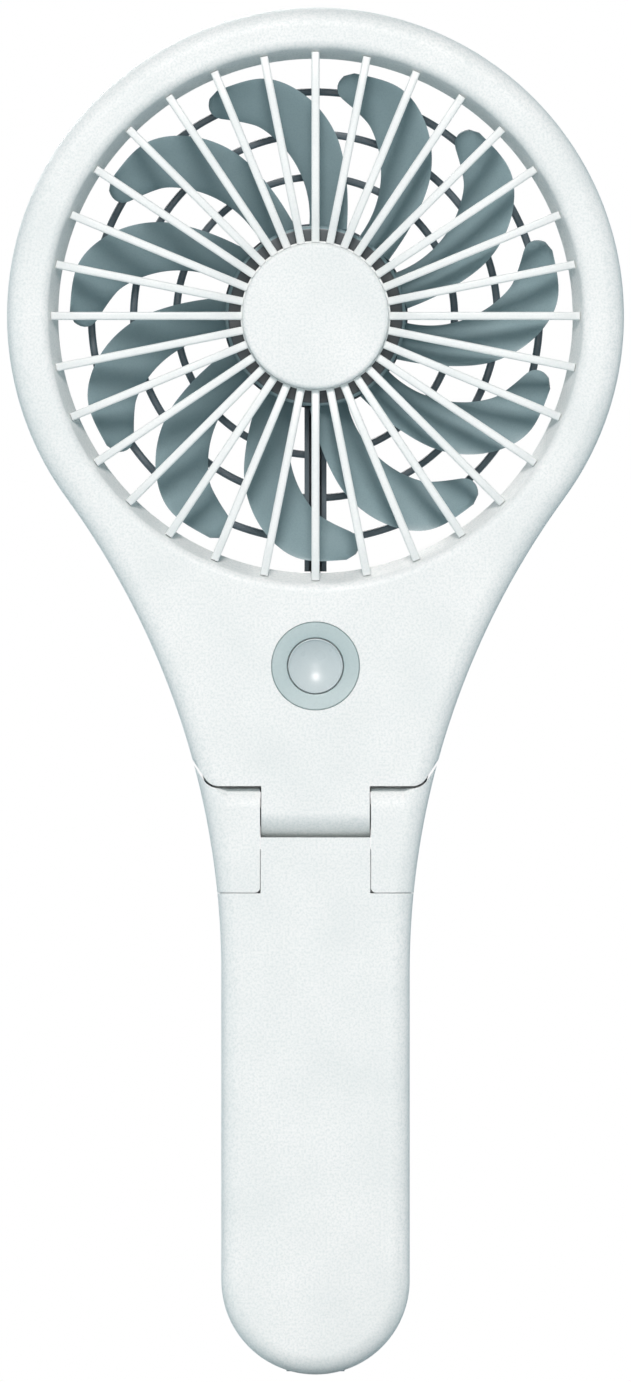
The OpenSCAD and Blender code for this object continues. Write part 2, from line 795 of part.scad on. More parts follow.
module rear_guard() {
    color([0.3, 0.34, 0.37])
        difference() {
            union() {
                for (r = [opening_r - guard_inset_1, opening_r - guard_inset_2, opening_r - guard_inset_3])
                    guard_ring(r);
                for (i = [0 : rib_count - 1])
                    translate([0, front_y, ring_z])
                        rotate([0, i * 360 / rib_count, 0])
                            translate([0, 0, -rib_w / 2])
                                linear_extrude(rib_w)
                                    polygon(rib_side);
                // Hub dish that carries the motor
                turned([[shaft_r + 0.8, guard_front], [hub_r + 0.3, guard_front], [hub_r + 0.3,
                    head_depth - 0.8],
                    [hub_r - 0.7, head_depth - 0.2], [hub_r - 2.4, head_depth - 0.2], [hub_r - 2.4,
                        guard_plate_back],
                    [shaft_r + 0.8, guard_plate_back]]);
                // Rim seated in the rear shell
                turned([[opening_r + 0.1, guard_seat], [guard_rim_r, guard_seat], [guard_rim_r,
                    head_depth - 0.4],
                    [guard_rim_r - 0.4, head_depth - 0.05], [opening_r + 0.1, head_depth - 0.05]]);
                // Channel for the motor lead, open to the front
                difference() {
                    union() {
                        block(-channel_w / 2, channel_w / 2, channel_front, guard_plate_back,
                            ring_z - opening_r + 0.25, ring_z - hub_r - 0.5);
                        block(-channel_w / 2, channel_w / 2, guard_front, guard_plate_back,
                            ring_z - opening_r + 0.25, ring_z - hub_r + 0.6);
                    }
                    block(-groove_half, groove_half, channel_front - 1, guard_plate_back - 0.8,
                        ring_z - opening_r - 1, ring_z - hub_r + 1);
                }
            }
            for (i = [0 : 2])
                rod(guard_front - 1, head_depth + 1, screw_r + 0.1,
                    motor_screw_r * sin(i * 120), ring_z + motor_screw_r * cos(i * 120));
            // Notch that lets the lead leave the dish and the rim
            block(-groove_half, groove_half, guard_front - 0.3, guard_plate_back - 0.8,
                ring_z - opening_r - 1, ring_z - motor_screw_r - 2.5);
        }
}

module motor_screws() {
    color([0.7, 0.7, 0.72])
        for (i = [0 : 2])
            translate([motor_screw_r * sin(i * 120), 0, motor_screw_r * cos(i * 120)]) {
                rod(motor_plate_front, guard_plate_back, screw_r - 0.3);
                rod(guard_plate_back, guard_plate_back + 0.9, 1.7);
            }
}

module motor_lead() {
    color([0.12, 0.12, 0.13])
        translate([0, front_y + motor_lead_d, ring_z - guard_rim_r - wall - 4])
            cylinder(r = 0.75, h = guard_rim_r + wall + 4 - motor_screw_r - 3);
}

module head_screws() {
    color([0.6, 0.6, 0.62])
        for (p = head_screw_places) {
            rod(seam_depth - 5.5, head_depth - plug_t - screw_head_t, screw_r - 0.15, p[0], p[1]);
            rod(head_depth - plug_t - screw_head_t, head_depth - plug_t - 0.05, screw_head_r, p[0], p[1]);
        }
}

module head_screw_plugs() {
    color([0.93, 0.935, 0.93])
        for (p = head_screw_places)
            rod(head_depth - plug_t, head_depth - 0.05, screw_head_r + 0.15, p[0], p[1]);
}

// ---------------------------------------------------------------- handle

// Side profile of the handle's top between the covers: lip, hollow seat and flat
module handle_top_profile() {
    seat_r = tongue_front_r + swing_gap;
    seat_c = tongue_bottom + tongue_front_r;
    lip_d = tongue_front_r - sqrt(pow(seat_r, 2) - pow(seat_c - lip_z, 2));
    polygon(concat([[-1, cover_z - 20], [-1, lip_z], [lip_d, lip_z]],
        arc(tongue_front_r, seat_c, seat_r, 180 + asin((seat_c - lip_z) / seat_r), 270, 5),
        [[handle_depth + 1, seat_z], [handle_depth + 1, cover_z - 20]]));
}

// Handle body without its hinge covers
module handle_solid() {
    intersection() {
        blank(handle_depth, false);
        union() {
            block(-handle_w, handle_w, -1, handle_depth + 1, -1, cover_z - fit);
            side_plate(-cover_half + fit, cover_half - fit)
                handle_top_profile();
            for (s = [0, 1])
                mirror([s, 0, 0])
                    plate(rib_front, rib_back)
                        cover_rib_area(0);
        }
    }
}

module handle_cavity() {
    plate(wall, handle_depth - wall)
        intersection() {
            outline(wall);
            union() {
                translate([-far / 2, 0])
                    square([far, cover_z - wall]);
                translate([-cover_half + wall, 0])
                    square([2 * (cover_half - wall), seat_z - wall]);
            }
        }
}

// Slots that the hinge brackets and the lead pass through
module bracket_slots() {
    for (s = [0, 1])
        mirror([s, 0, 0])
            block(bracket_x - 0.1, bracket_x + bracket_t + 0.1, bracket_front - 0.1, bracket_back + 0.1,
                cover_z - wall - 1, cover_z + 1);
    block(bracket_x + 1.2, bracket_x + 3.6, lead_way_front, lead_way_back, cover_z - wall - 1, cover_z + 1);
}

module handle_bosses(from, to) {
    for (p = handle_screw_places)
        rod(from, to, boss_r, p[0], p[1]);
}

// Shelf under the cell's foam collar, between two depths
module cell_shelf(from, to) {
    block(2 - cell_d / 2, cell_d / 2 - 2, from, to, cradle_z - shelf_t, cradle_z);
}

// Pads outside the hinge brackets that take their screws
module bracket_pads() {
    for (s = [0, 1])
        mirror([s, 0, 0])
            difference() {
                block(bracket_x + bracket_t + fit, half_w - wall + 0.4, bracket_front + 0.3, bracket_back,
                    bracket_foot_z + 0.8, cover_z - wall + 0.1);
                for (z = bracket_screw_z)
                    cross_rod(bracket_x, bracket_screw_end + fit, screw_r - 0.2, depth = bracket_screw_d,
                        z = z);
            }
}

module handle_front_shell() {
    color([0.96, 0.965, 0.96])
        difference() {
            union() {
                difference() {
                    intersection() {
                        handle_solid();
                        slab(-1, seam_depth);
                    }
                    handle_cavity();
                }
                handle_bosses(wall - 0.2, seam_depth);
                cell_shelf(wall - 0.2, seam_depth);
            }
            socket_slot();
            bracket_slots();
            for (p = handle_screw_places)
                rod(wall + 2, seam_depth + 1, screw_r - 0.15, p[0], p[1]);
        }
}

module handle_rear_shell() {
    color([0.95, 0.955, 0.95])
        difference() {
            union() {
                difference() {
                    intersection() {
                        handle_solid();
                        slab(seam_depth, far);
                    }
                    handle_cavity();
                }
                handle_bosses(seam_depth, handle_depth - wall + 0.2);
                cell_shelf(seam_depth, handle_depth - wall + 0.2);
                bracket_pads();
                // Posts behind the charge board
                for (x = [-3.9, 3.9])
                    rod(charge_board_d + charge_board_t, handle_depth - wall + 0.2, post_r, x,
                        charge_board_z + 5);
            }
            socket_slot();
            bracket_slots();
            for (p = handle_screw_places) {
                rod(seam_depth - 1, handle_depth + 1, screw_r + 0.15, p[0], p[1]);
                rod(handle_depth - plug_t - screw_head_t - 0.1, handle_depth + 1, screw_head_r + 0.2, p[0],
                    p[1]);
            }
            rod(seam_depth, handle_depth + 1, light_r + fit, 0, light_z);
        }
}

// Side profile of a hinge cover: rounded front top edge, horn in front of the axis, barrel behind it
module cover_profile() {
    top = shoulder_z - swing_gap;
    polygon(concat([[-1, cover_z - 1], [0, top - edge_r]], arc(edge_r, top - edge_r, edge_r, 165, 90, 5),
        [[edge_r + 0.4, top + 12], [axis_depth, top + 12]],
        arc(axis_depth, axis_z, barrel_r, 90, -60, 12), [[handle_depth + 2, cover_z - 1]]));
}

// Hinge cover on the right, before hollowing
module cover_solid() {
    intersection() {
        union() {
            blank(handle_depth, false);
            intersection() {
                side_plate(cover_half, half_w + 6)
                    polygon(arc(axis_depth, axis_z, barrel_r, 110, -110, 16));
                plate(handle_depth - barrel_r, total_depth + 1)
                    polygon(lower_points(0.8, horn_angle));
            }
        }
        side_plate(0, half_w + 12)
            cover_profile();
        plate(-1, total_depth + 1)
            cover_area();
    }
}

module hinge_cover() {
    difference() {
        cover_solid();
        plate(rib_front - fit, rib_back + fit)
            cover_rib_area(fit);
        plate(rib_front - 0.2, rib_back + rib_swing)
            head_area(0.5 + rib_play / 2, -rib_h - rib_play);
        // Pocket for the bracket, the pin's end and the lead
        cross_rod(cover_half - 1, bracket_x + bracket_t + 1.8, eye_r + 0.4);
        block(bracket_x - 0.15, bracket_x + bracket_t + 0.15, bracket_front - 0.15, bracket_back + 0.15,
            cover_z - 1, axis_z);
        block(bracket_x + 1.2, bracket_x + 3.6, lead_way_front, lead_way_back, cover_z - 1, cover_z + 8);
        side_plate(bracket_x + 1.2, bracket_x + 3)
            polygon([[lead_way_front, cover_z + 5], [lead_way_back, cover_z + 5], [axis_depth + 1.2, axis_z],
                    [axis_depth - 1.2, axis_z + 0.6]]);
    }
}

module hinge_cover_right() {
    color([0.96, 0.965, 0.96])
        hinge_cover();
}

module hinge_cover_left() {
    color([0.96, 0.965, 0.96])
        mirror([1, 0, 0])
            hinge_cover();
}

// Pressed-steel arm screwed inside the handle, with an eye for the pin
module hinge_bracket(bore_r) {
    difference() {
        union() {
            block(bracket_x, bracket_x + bracket_t, bracket_front, bracket_back, bracket_foot_z, axis_z);
            cross_rod(bracket_x, bracket_x + bracket_t, eye_r);
        }
        cross_rod(bracket_x - 1, bracket_x + bracket_t + 1, bore_r);
        for (z = bracket_screw_z)
            cross_rod(bracket_x - 1, bracket_x + bracket_t + 1, screw_r - 0.2, depth = bracket_screw_d,
                z = z);
    }
}

module hinge_bracket_right() {
    color([0.62, 0.63, 0.65])
        hinge_bracket(bush_r + fit / 2);
}

module hinge_bracket_left() {
    color([0.62, 0.63, 0.65])
        mirror([1, 0, 0])
            hinge_bracket(pin_r + fit / 2);
}

module bracket_screws() {
    color([0.6, 0.6, 0.62])
        for (s = [0, 1], z = bracket_screw_z)
            mirror([s, 0, 0]) {
                cross_rod(bracket_x - 0.7, bracket_screw_end, screw_r - 0.25, depth = bracket_screw_d, z = z);
                cross_rod(bracket_x - 1.4, bracket_x, 1.5, depth = bracket_screw_d, z = z);
            }
}

module hinge_pin() {
    color([0.75, 0.76, 0.78]) {
        cross_rod(-bracket_x - bracket_t, -3, pin_r);
        cross_rod(-bracket_x - bracket_t - 0.9, -bracket_x - bracket_t, 2.5);
    }
}

module hinge_bush() {
    color([0.75, 0.76, 0.78])
        difference() {
            union() {
                cross_rod(4.8, bracket_x + bracket_t, bush_r);
                cross_rod(bracket_x + bracket_t, bracket_x + bracket_t + 0.5, 2.6);
            }
            cross_rod(4, bracket_x + bracket_t + 2, bush_bore_r);
        }
}

module friction_washers() {
    color([0.5, 0.42, 0.3]) {
        difference() {
            cross_rod(-bracket_x, -tongue_half - thrust - fit, eye_r - 0.1);
            cross_rod(-bracket_x - 1, -tongue_half + 1, pin_r + fit);
        }
        difference() {
            cross_rod(tongue_half + thrust + fit, bracket_x, eye_r - 0.1);
            cross_rod(tongue_half - 1, bracket_x + 1, bush_r + fit);
        }
    }
}

// Wire along a route of [x, depth, z] points, as one closed eight-sided sweep
function unit(v) = v / norm(v);
function wire_ring(p, dir, r) = let (u = unit(cross(dir, [0, 1, 0])), v = cross(unit(dir), u))
    [for (k = [0 : 7]) p + r * (cos(45 * k) * u + sin(45 * k) * v)];
module wire(route, r) {
    n = len(route);
    places = [for (p = route) [p[0], front_y + p[1], p[2]]];
    legs = [for (i = [0 : n - 2]) unit(places[i + 1] - places[i])];
    points = [for (i = [0 : n - 1], q = wire_ring(places[i], i == 0 ? legs[0] : i == n - 1 ? legs[n - 2]
        : legs[i - 1] + legs[i], r)) q];
    sides = [for (i = [0 : n - 2], k = [0 : 7], t = [0, 1]) let (a = i * 8 + k, b = i * 8 + (k + 1) % 8)
        t == 0 ? [a, a + 8, b + 8] : [a, b + 8, b]];
    polyhedron(points = points, faces = concat([[for (k = [0 : 7]) k]], sides,
        [[for (k = [7 : -1 : 0]) (n - 1) * 8 + k]]));
}

lead_r = 0.6;
lead_x = bracket_x + 2.35;
lead_d = (lead_way_front + lead_way_back) / 2;
lead_meet_x = 6.15;
lead_up_x = 3.6;
lead_tilt = 28;

// Lead half that stays with the handle: up beside the bracket, then into the bush
module hinge_lead_lower() {
    color([0.7, 0.1, 0.08])
        wire([[lead_x, lead_d, bracket_foot_z + 4], [lead_x, lead_d, cover_z + 5],
            [lead_x, axis_depth, axis_z], [lead_meet_x + fit, axis_depth, axis_z]], lead_r);
}

// Lead half that stays with the head: from the bush up into the neck
module hinge_lead_upper() {
    color([0.7, 0.1, 0.08])
        wire([[lead_meet_x - fit, axis_depth, axis_z], [lead_up_x + 0.6, axis_depth, axis_z],
            [lead_up_x, axis_depth - 0.5 * sin(lead_tilt), axis_z + 0.6],
            [lead_up_x, axis_depth - 12 * sin(lead_tilt), axis_z + 12 * cos(lead_tilt)]], lead_r);
}

// ---------------------------------------------------------------- battery and charging

module battery_cell() {
    color([0.16, 0.42, 0.6]) {
        translate([0, front_y + cell_depth, cell_z])
            cylinder(r = cell_d / 2, h = cell_len - 1.2);
        translate([0, front_y + cell_depth, cell_z + cell_len - 1.2])
            cylinder(r = 3, h = 1.2);
    }
}

// Foam collar under the cell
module battery_cradle() {
    color([0.2, 0.2, 0.21])
        translate([0, front_y + cell_depth, cradle_z])
            cylinder(r = cell_d / 2 - 0.6, h = cradle_t);
}

module battery_leads() {
    color([0.7, 0.1, 0.08])
        for (s = [-1, 1])
            translate([s * (cell_d / 2 + 1.4), front_y + 7.2, cradle_z - shelf_t])
                cylinder(r = 0.6, h = cell_len - 8);
}

module charge_board() {
    color([0.08, 0.32, 0.2])
        difference() {
            block(-5.6, 5.6, charge_board_d, charge_board_d + charge_board_t, charge_board_z,
                charge_board_z + charge_board_h - 1);
            rod(charge_board_d - 1, charge_board_d + 2, light_r + fit, 0, light_z);
        }
}

// Rounded slot section of the charging socket, grown by an amount
module socket_section(grow) {
    r = socket_t / 2 + grow;
    half = (socket_w - socket_t) / 2;
    polygon(concat(arc(half, 0, r, -90, 90, 8), arc(-half, 0, r, 90, 270, 8)));
}

module socket_slot() {
    translate([0, front_y + socket_depth, -1])
        linear_extrude(socket_len + 2)
            socket_section(0.12);
}

module usb_socket() {
    color([0.7, 0.71, 0.73])
        translate([0, front_y + socket_depth, 0.5])
            difference() {
                linear_extrude(socket_len)
                    socket_section(0);
                difference() {
                    translate([0, 0, -1])
                        linear_extrude(socket_len)
                            socket_section(-0.3);
                    translate([-3.3, -0.35, -1])
                        cube([6.6, 0.7, socket_len + 1]);
                }
            }
}

module charge_light_pipe() {
    color([0.85, 0.9, 0.9, 0.6])
        rod(charge_board_d, handle_depth - 0.05, light_r, 0, light_z);
}

module handle_screws() {
    color([0.6, 0.6, 0.62])
        for (p = handle_screw_places) {
            rod(seam_depth - 5.5, handle_depth - plug_t - screw_head_t, screw_r - 0.15, p[0], p[1]);
            rod(handle_depth - plug_t - screw_head_t, handle_depth - plug_t - 0.05, screw_head_r, p[0], p[1]);
        }
}

// ---------------------------------------------------------------- nodes

head_front_shell();
head_rear_shell();
front_grille();
hub_cap();
button_bezel();
power_button();
switch_plunger();
tact_switch();
control_board();
speed_leds();
impeller();
rotor_cup();
magnet_ring();
motor_shaft();
shaft_clip();
stator_core();
stator_windings();
bearing_tube();
front_bush();
rear_bush();
motor_board();
rear_guard();
motor_screws();
motor_lead();
head_screws();
head_screw_plugs();
handle_front_shell();
handle_rear_shell();
hinge_cover_left();
hinge_cover_right();
hinge_bracket_left();
hinge_bracket_right();
bracket_screws();
hinge_pin();
hinge_bush();
friction_washers();
hinge_lead_lower();
hinge_lead_upper();
battery_cell();
battery_cradle();
battery_leads();
charge_board();
usb_socket();
charge_light_pipe();
handle_screws();
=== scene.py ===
# Folding handheld fan: a ring head with a spoked grille and an eleven-blade impeller,
# hinged to a slim handle that folds up behind it. Shapes are drawn in millimetres, with
# "depth" the distance back from the front plane, and become metres when a piece is finished.
from math import asin, atan2, cos, pi, radians, sin, sqrt, tan

import bmesh
import bpy
from mathutils import Matrix, Vector


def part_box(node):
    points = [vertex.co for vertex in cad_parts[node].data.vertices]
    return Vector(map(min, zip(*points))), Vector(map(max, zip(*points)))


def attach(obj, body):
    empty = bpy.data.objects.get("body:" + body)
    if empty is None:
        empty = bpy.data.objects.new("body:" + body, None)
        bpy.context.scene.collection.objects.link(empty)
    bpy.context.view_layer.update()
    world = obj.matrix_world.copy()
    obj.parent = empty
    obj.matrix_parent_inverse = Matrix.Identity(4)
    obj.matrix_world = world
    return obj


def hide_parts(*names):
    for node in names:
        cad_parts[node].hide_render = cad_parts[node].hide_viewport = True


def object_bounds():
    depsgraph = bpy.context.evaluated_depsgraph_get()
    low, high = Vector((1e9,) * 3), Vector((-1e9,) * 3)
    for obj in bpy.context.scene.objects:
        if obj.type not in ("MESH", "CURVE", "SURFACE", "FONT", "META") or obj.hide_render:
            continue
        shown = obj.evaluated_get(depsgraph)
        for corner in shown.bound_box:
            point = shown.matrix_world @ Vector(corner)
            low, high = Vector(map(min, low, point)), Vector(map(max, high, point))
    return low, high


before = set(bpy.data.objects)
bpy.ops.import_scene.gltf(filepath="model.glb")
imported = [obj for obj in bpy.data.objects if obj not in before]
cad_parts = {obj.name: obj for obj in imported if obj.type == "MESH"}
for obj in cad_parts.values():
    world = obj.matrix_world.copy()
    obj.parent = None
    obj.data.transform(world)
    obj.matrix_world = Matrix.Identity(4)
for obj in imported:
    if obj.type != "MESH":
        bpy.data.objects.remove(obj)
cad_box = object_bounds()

MM = 0.001


def box_mm(name):
    low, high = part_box(name)
    return [v / MM for v in low], [v / MM for v in high]


# ---------------------------------------------------------------- sizes

cap_low, cap_high = box_mm("hub_cap")
shell_low, shell_high = box_mm("head_front_shell")
back_high = box_mm("handle_rear_shell")[1]
cover_low = box_mm("hinge_cover_right")[0]
pin_low, pin_high = box_mm("hinge_pin")
bezel_low, bezel_high = box_mm("button_bezel")

FRONT = shell_low[1]
RING_Z = (cap_low[2] + cap_high[2]) / 2
RING_R = shell_high[2] - RING_Z
RING_BAND = 7.9
OPENING_R = RING_R - RING_BAND
HALF_W = 14.5
FLANK_R = 124.0
FLANK_X = HALF_W + FLANK_R
FLANK_Z = RING_Z - sqrt((RING_R + FLANK_R) ** 2 - FLANK_X ** 2)
FLANK_ANGLE = atan2(RING_Z - FLANK_Z, FLANK_X)
HEAD_DEPTH = 19.0
HANDLE_DEPTH = back_high[1] - FRONT
SEAM = shell_high[1] - FRONT
WALL = 1.6
EDGE_R = 3.0
BACK_EDGE_R = 2.4
LIP_W = 3.0
LIP_DEPTH = 5.0
LIP_R = 1.6
LIP_TURN = 72
AXIS_D = (pin_low[1] + pin_high[1]) / 2 - FRONT
AXIS_Z = (pin_low[2] + pin_high[2]) / 2
BARREL_R = 4.4
SWING_GAP = 0.3
SHOULDER_Z = AXIS_Z + BARREL_R + SWING_GAP
TONGUE_HALF = cover_low[0] - 0.2
TONGUE_FRONT_R = 6.1
TONGUE_BOTTOM = AXIS_Z - BARREL_R
CURL_DEPTH = 10.0
CURL_H = 5.0
COVER_HALF = cover_low[0]
COVER_Z = cover_low[2]
COVER_TOP = SHOULDER_Z - SWING_GAP
SEAT_Z = TONGUE_BOTTOM - SWING_GAP
LIP_Z = SEAT_Z + 1.5
HORN_CORNER_X = 16.27
HORN_SLOPE = radians(57)
HORN_R = 2.6
RIB_FRONT = 5.0
RIB_BACK = 6.2
RIB_H = 0.9
RIB_INSET = 0.9
SEAM_GAP = 0.1
BUTTON_Z = (bezel_low[2] + bezel_high[2]) / 2
BEZEL_R = 6.8
BUTTON_R = 4.22
CAP_R = (cap_high[0] - cap_low[0]) / 2
CAP_DEPTH = cap_high[1] - FRONT
GUARD_R = OPENING_R + 2.4
GUARD_FRONT = 15.4
GUARD_BACK = 17.8
GUARD_RIM = 1.9
GUARD_RIB_W = 1.0
GUARD_RINGS = (21.4, 28.0, 34.5)
GUARD_RING_HALF = 0.575
CHANNEL_HALF = 1.7
HUB_R = 13.9
HUB_BORE_R = 12.85
BLADE_TIP_R = 37.85
BLADE_T = 0.9
BLADE_DEPTH = 7.6
SPOKE_W = 1.25
SPOKE_BACK = 3.38
SPOKES = 32
BLADES = 11
RIBS = 16
HEAD_SCREWS = [(-13, RING_Z - 61), (13, RING_Z - 61), (-22.5, RING_Z - 44.5), (22.5, RING_Z - 44.5)]
HANDLE_SCREWS = [(-8.6, 11.2), (8.6, 11.2), (0, 71.4)]
MOTOR_SCREW_R = 7.5
BOSS_R = 2.6
SCREW_WAY_R = 1.15
HEAD_SEAT_R = 2.1
# Part of the handle and covers that the bracket arms and the lead pass through: width and depth ranges
ARM_X = (9.5, 10.9)
ARM_D = (14.1, 20.3)
LEAD_X = (11.2, 13.6)
LEAD_D = (11.6, 13.9)
# Where a hinge cover's rounded top edge runs out into its horn
RUN_OUT_START = 13.6
RUN_OUT_END = 16.4


# ---------------------------------------------------------------- material helpers

def linear(code):
    """A hex sRGB colour as linear RGBA."""
    parts = [int(code[i:i + 2], 16) / 255 for i in (1, 3, 5)]
    return [c / 12.92 if c <= 0.04045 else ((c + 0.055) / 1.055) ** 2.4 for c in parts] + [1.0]


def add(tree, kind, inputs=None, **settings):
    """Adds a node with its settings; an input is a value or another node's output."""
    made = tree.nodes.new(kind)
    for key, value in settings.items():
        setattr(made, key, value)
    for key, value in (inputs or {}).items():
        if isinstance(value, bpy.types.NodeSocket):
            tree.links.new(value, made.inputs[key])
        else:
            made.inputs[key].default_value = value
    return made


def start_material(name, **shader):
    """A material with one Principled shader; returns it, its tree, the shader and the place socket."""
    material = bpy.data.materials.new(name)
    material.use_nodes = True
    tree = material.node_tree
    tree.nodes.clear()
    surface = add(tree, "ShaderNodeBsdfPrincipled", shader)
    add(tree, "ShaderNodeOutputMaterial", {"Surface": surface.outputs["BSDF"]})
    place = add(tree, "ShaderNodeTexCoord").outputs["Object"]
    return material, tree, surface, place


def noise(tree, place, size_mm, detail=2.0, roughness=0.5):
    """Noise whose features are about size_mm across."""
    made = add(tree, "ShaderNodeTexNoise", {"Vector": place, "Scale": 1 / (size_mm * MM), "Detail": detail,
                                            "Roughness": roughness})
    return made.outputs["Fac"]


def spread(tree, value, low, high, start=0.0, end=1.0):
    """A value from start to end, remapped to low to high."""
    return add(tree, "ShaderNodeMapRange", {"Value": value, "From Min": start, "From Max": end, "To Min": low,
                                            "To Max": high}).outputs["Result"]


def blend(tree, factor, first, second):
    """Mix of two colours."""
    mixed = add(tree, "ShaderNodeMix", data_type="RGBA")
    for index, value in ((0, factor), (6, first), (7, second)):
        if isinstance(value, bpy.types.NodeSocket):
            tree.links.new(value, mixed.inputs[index])
        else:
            mixed.inputs[index].default_value = value
    return mixed.outputs[2]


def bump(tree, height, distance_mm, strength=1.0):
    return add(tree, "ShaderNodeBump", {"Height": height, "Distance": distance_mm * MM,
                                        "Strength": strength}).outputs["Normal"]


def moulded(name, colour, shade, grit_mm, grit_depth_mm, rough=(0.45, 0.6), speckle=0.5, **shader):
    """Injection-moulded plastic: a grit texture left by the mould, with slow drifts in tone and gloss."""
    material, tree, surface, place = start_material(name, **shader)
    grit = noise(tree, place, grit_mm, 3.0, 0.6)
    drift = noise(tree, place, 14.0, 2.0)
    fleck = spread(tree, grit, 0.0, speckle, 0.42, 0.66)
    tone = blend(tree, spread(tree, drift, 0.0, 0.35, 0.3, 0.7), linear(colour), linear(shade))
    tree.links.new(blend(tree, fleck, tone, linear(shade)), surface.inputs["Base Color"])
    gloss = spread(tree, noise(tree, place, 5.0), rough[0], rough[1], 0.3, 0.7)
    tree.links.new(gloss, surface.inputs["Roughness"])
    tree.links.new(bump(tree, grit, grit_depth_mm), surface.inputs["Normal"])
    return material


def metal(name, colour, shade, rough, line_mm=0.12, stretch=(1.0, 1.0, 12.0), depth_mm=0.002):
    """Bare metal with the fine lines that drawing, turning or pressing leaves."""
    material, tree, surface, place = start_material(name, Metallic=1.0)
    lined = add(tree, "ShaderNodeMapping", {"Vector": place, "Scale": [1 / s for s in stretch]})
    lines = noise(tree, lined.outputs["Vector"], line_mm, 3.0)
    stain = noise(tree, place, 3.0, 3.0)
    tree.links.new(blend(tree, spread(tree, stain, 0.0, 0.6, 0.35, 0.75), linear(colour), linear(shade)),
                   surface.inputs["Base Color"])
    tree.links.new(spread(tree, lines, rough - 0.07, rough + 0.1, 0.3, 0.7), surface.inputs["Roughness"])
    tree.links.new(bump(tree, lines, depth_mm), surface.inputs["Normal"])
    return material


# ---------------------------------------------------------------- materials

# White ABS from a spark-eroded mould: an even, dry speckle about 0.35 mm across, drawn a little
# coarser than the real 0.2 mm grit so that it shows.
white_abs = moulded("white_abs", "#F5F7F6", "#D5DEDE", 0.36, 0.03, (0.46, 0.58), 0.6, IOR=1.53)

# The button's ABS, a shade greyer and polished, so that its dish catches the light.
button_abs = moulded("button_abs", "#C9D4D6", "#BECBCE", 0.3, 0.003, (0.26, 0.34), 0.3, IOR=1.53)

# The same white ABS on the grille, from a polished part of the mould: smoother and a little glossier.
grille_abs = moulded("grille_abs", "#F1F4F3", "#DDE5E5", 0.3, 0.006, (0.34, 0.46), 0.3, IOR=1.53)

# Pale grey-green polycarbonate ring, satin: light passes a little way in.
bezel_pc = moulded("bezel_polycarbonate", "#B4C6C7", "#A2B6B8", 0.3, 0.004, (0.28, 0.4), 0.3, IOR=1.585,
                   **{"Subsurface Weight": 0.08, "Subsurface Radius": [0.002, 0.003, 0.003],
                      "Subsurface Scale": 0.5})

# Cool grey ABS of the impeller, satin from a fine-ground mould, with faint flow drift along the blades.
impeller_abs = moulded("impeller_abs", "#889FA4", "#768C92", 0.22, 0.004, (0.36, 0.5), 0.4, IOR=1.53)


def paint_hub_face_shade(material):
    """Painted shade: the flat front of the hub, r under 13.4 mm, is coloured darker than the blades in place
    of the shadow that the grille's spokes and cap cast on it.
    """
    tree = material.node_tree
    surface = next(n for n in tree.nodes if n.type == "BSDF_PRINCIPLED")
    place = next(n for n in tree.nodes if n.type == "TEX_COORD").outputs["Object"]
    centre = (0, 0, RING_Z * MM)
    middle = add(tree, "ShaderNodeVectorMath", {0: place, 1: centre}, operation="SUBTRACT").outputs[0]
    flat = add(tree, "ShaderNodeVectorMath", {0: middle, 1: (1, 0, 1)}, operation="MULTIPLY").outputs[0]
    reach = add(tree, "ShaderNodeVectorMath", {0: flat}, operation="LENGTH").outputs["Value"]
    face = spread(tree, reach, 1.0, 0.0, 13.35 * MM, 13.5 * MM)
    plain = surface.inputs["Base Color"].links[0].from_socket
    # painted shade: dark slate blended in over the hub's face, standing in for the grille's shadow
    tree.links.new(blend(tree, face, plain, linear("#3E494E")), surface.inputs["Base Color"])


# paints the shade on the hub's face into the impeller's colour
paint_hub_face_shade(impeller_abs)

# Dark slate polypropylene of the rear guard: soft sheen, a trace of mould grain.
guard_pp = moulded("guard_polypropylene", "#56656D", "#48565E", 0.3, 0.006, (0.38, 0.52), 0.4, IOR=1.49)

# Black engineering plastic of the switch and magnet: dull, fine-grained.
black_pa = moulded("black_nylon", "#1B1C1E", "#121315", 0.25, 0.006, (0.5, 0.65), 0.4, IOR=1.53)

# Closed-cell foam: matt, with open cut cells about half a millimetre wide.
foam = moulded("black_foam", "#26272A", "#141517", 0.55, 0.12, (0.85, 0.95), 0.9, IOR=1.4)

# Natural nylon washers: waxy and slightly translucent.
nylon = moulded("natural_nylon", "#D9CFB6", "#C7BB9E", 0.3, 0.004, (0.4, 0.5), 0.3, IOR=1.53,
                **{"Subsurface Weight": 0.15, "Subsurface Radius": [0.003, 0.002, 0.001],
                   "Subsurface Scale": 0.5})

# Silicone and PVC sleeves of the thin leads: soft sheen.
red_sleeve = moulded("red_silicone", "#A8201A", "#8C1712", 0.3, 0.004, (0.4, 0.5), 0.3, IOR=1.43)
black_sleeve = moulded("black_pvc", "#1C1C1E", "#131315", 0.3, 0.004, (0.38, 0.48), 0.3, IOR=1.54)

# Shrink sleeve on the cell: glossy, a few shallow ripples.
cell_sleeve = moulded("cell_shrink_sleeve", "#2C6E9E", "#245D88", 2.5, 0.03, (0.2, 0.32), 0.3, IOR=1.55)

# Zinc-plated steel: cool, slightly streaked.
zinc = metal("zinc_plated_steel", "#A9ADB0", "#8F9498", 0.34)

# Ground steel pin and shaft: bright with fine rings.
ground = metal("ground_steel", "#C4C7CA", "#AEB2B6", 0.2, 0.08, (12.0, 1.0, 1.0))

# Stamped electrical steel of the motor.
lamination = metal("electrical_steel", "#7E8285", "#66696C", 0.42, 0.35, (12.0, 1.0, 12.0), 0.02)

# Enamelled copper wire: warm, with turns about 0.25 mm apart.
copper = metal("enamelled_copper", "#C9773A", "#A85F2B", 0.3, 0.25, (1.0, 12.0, 1.0), 0.03)

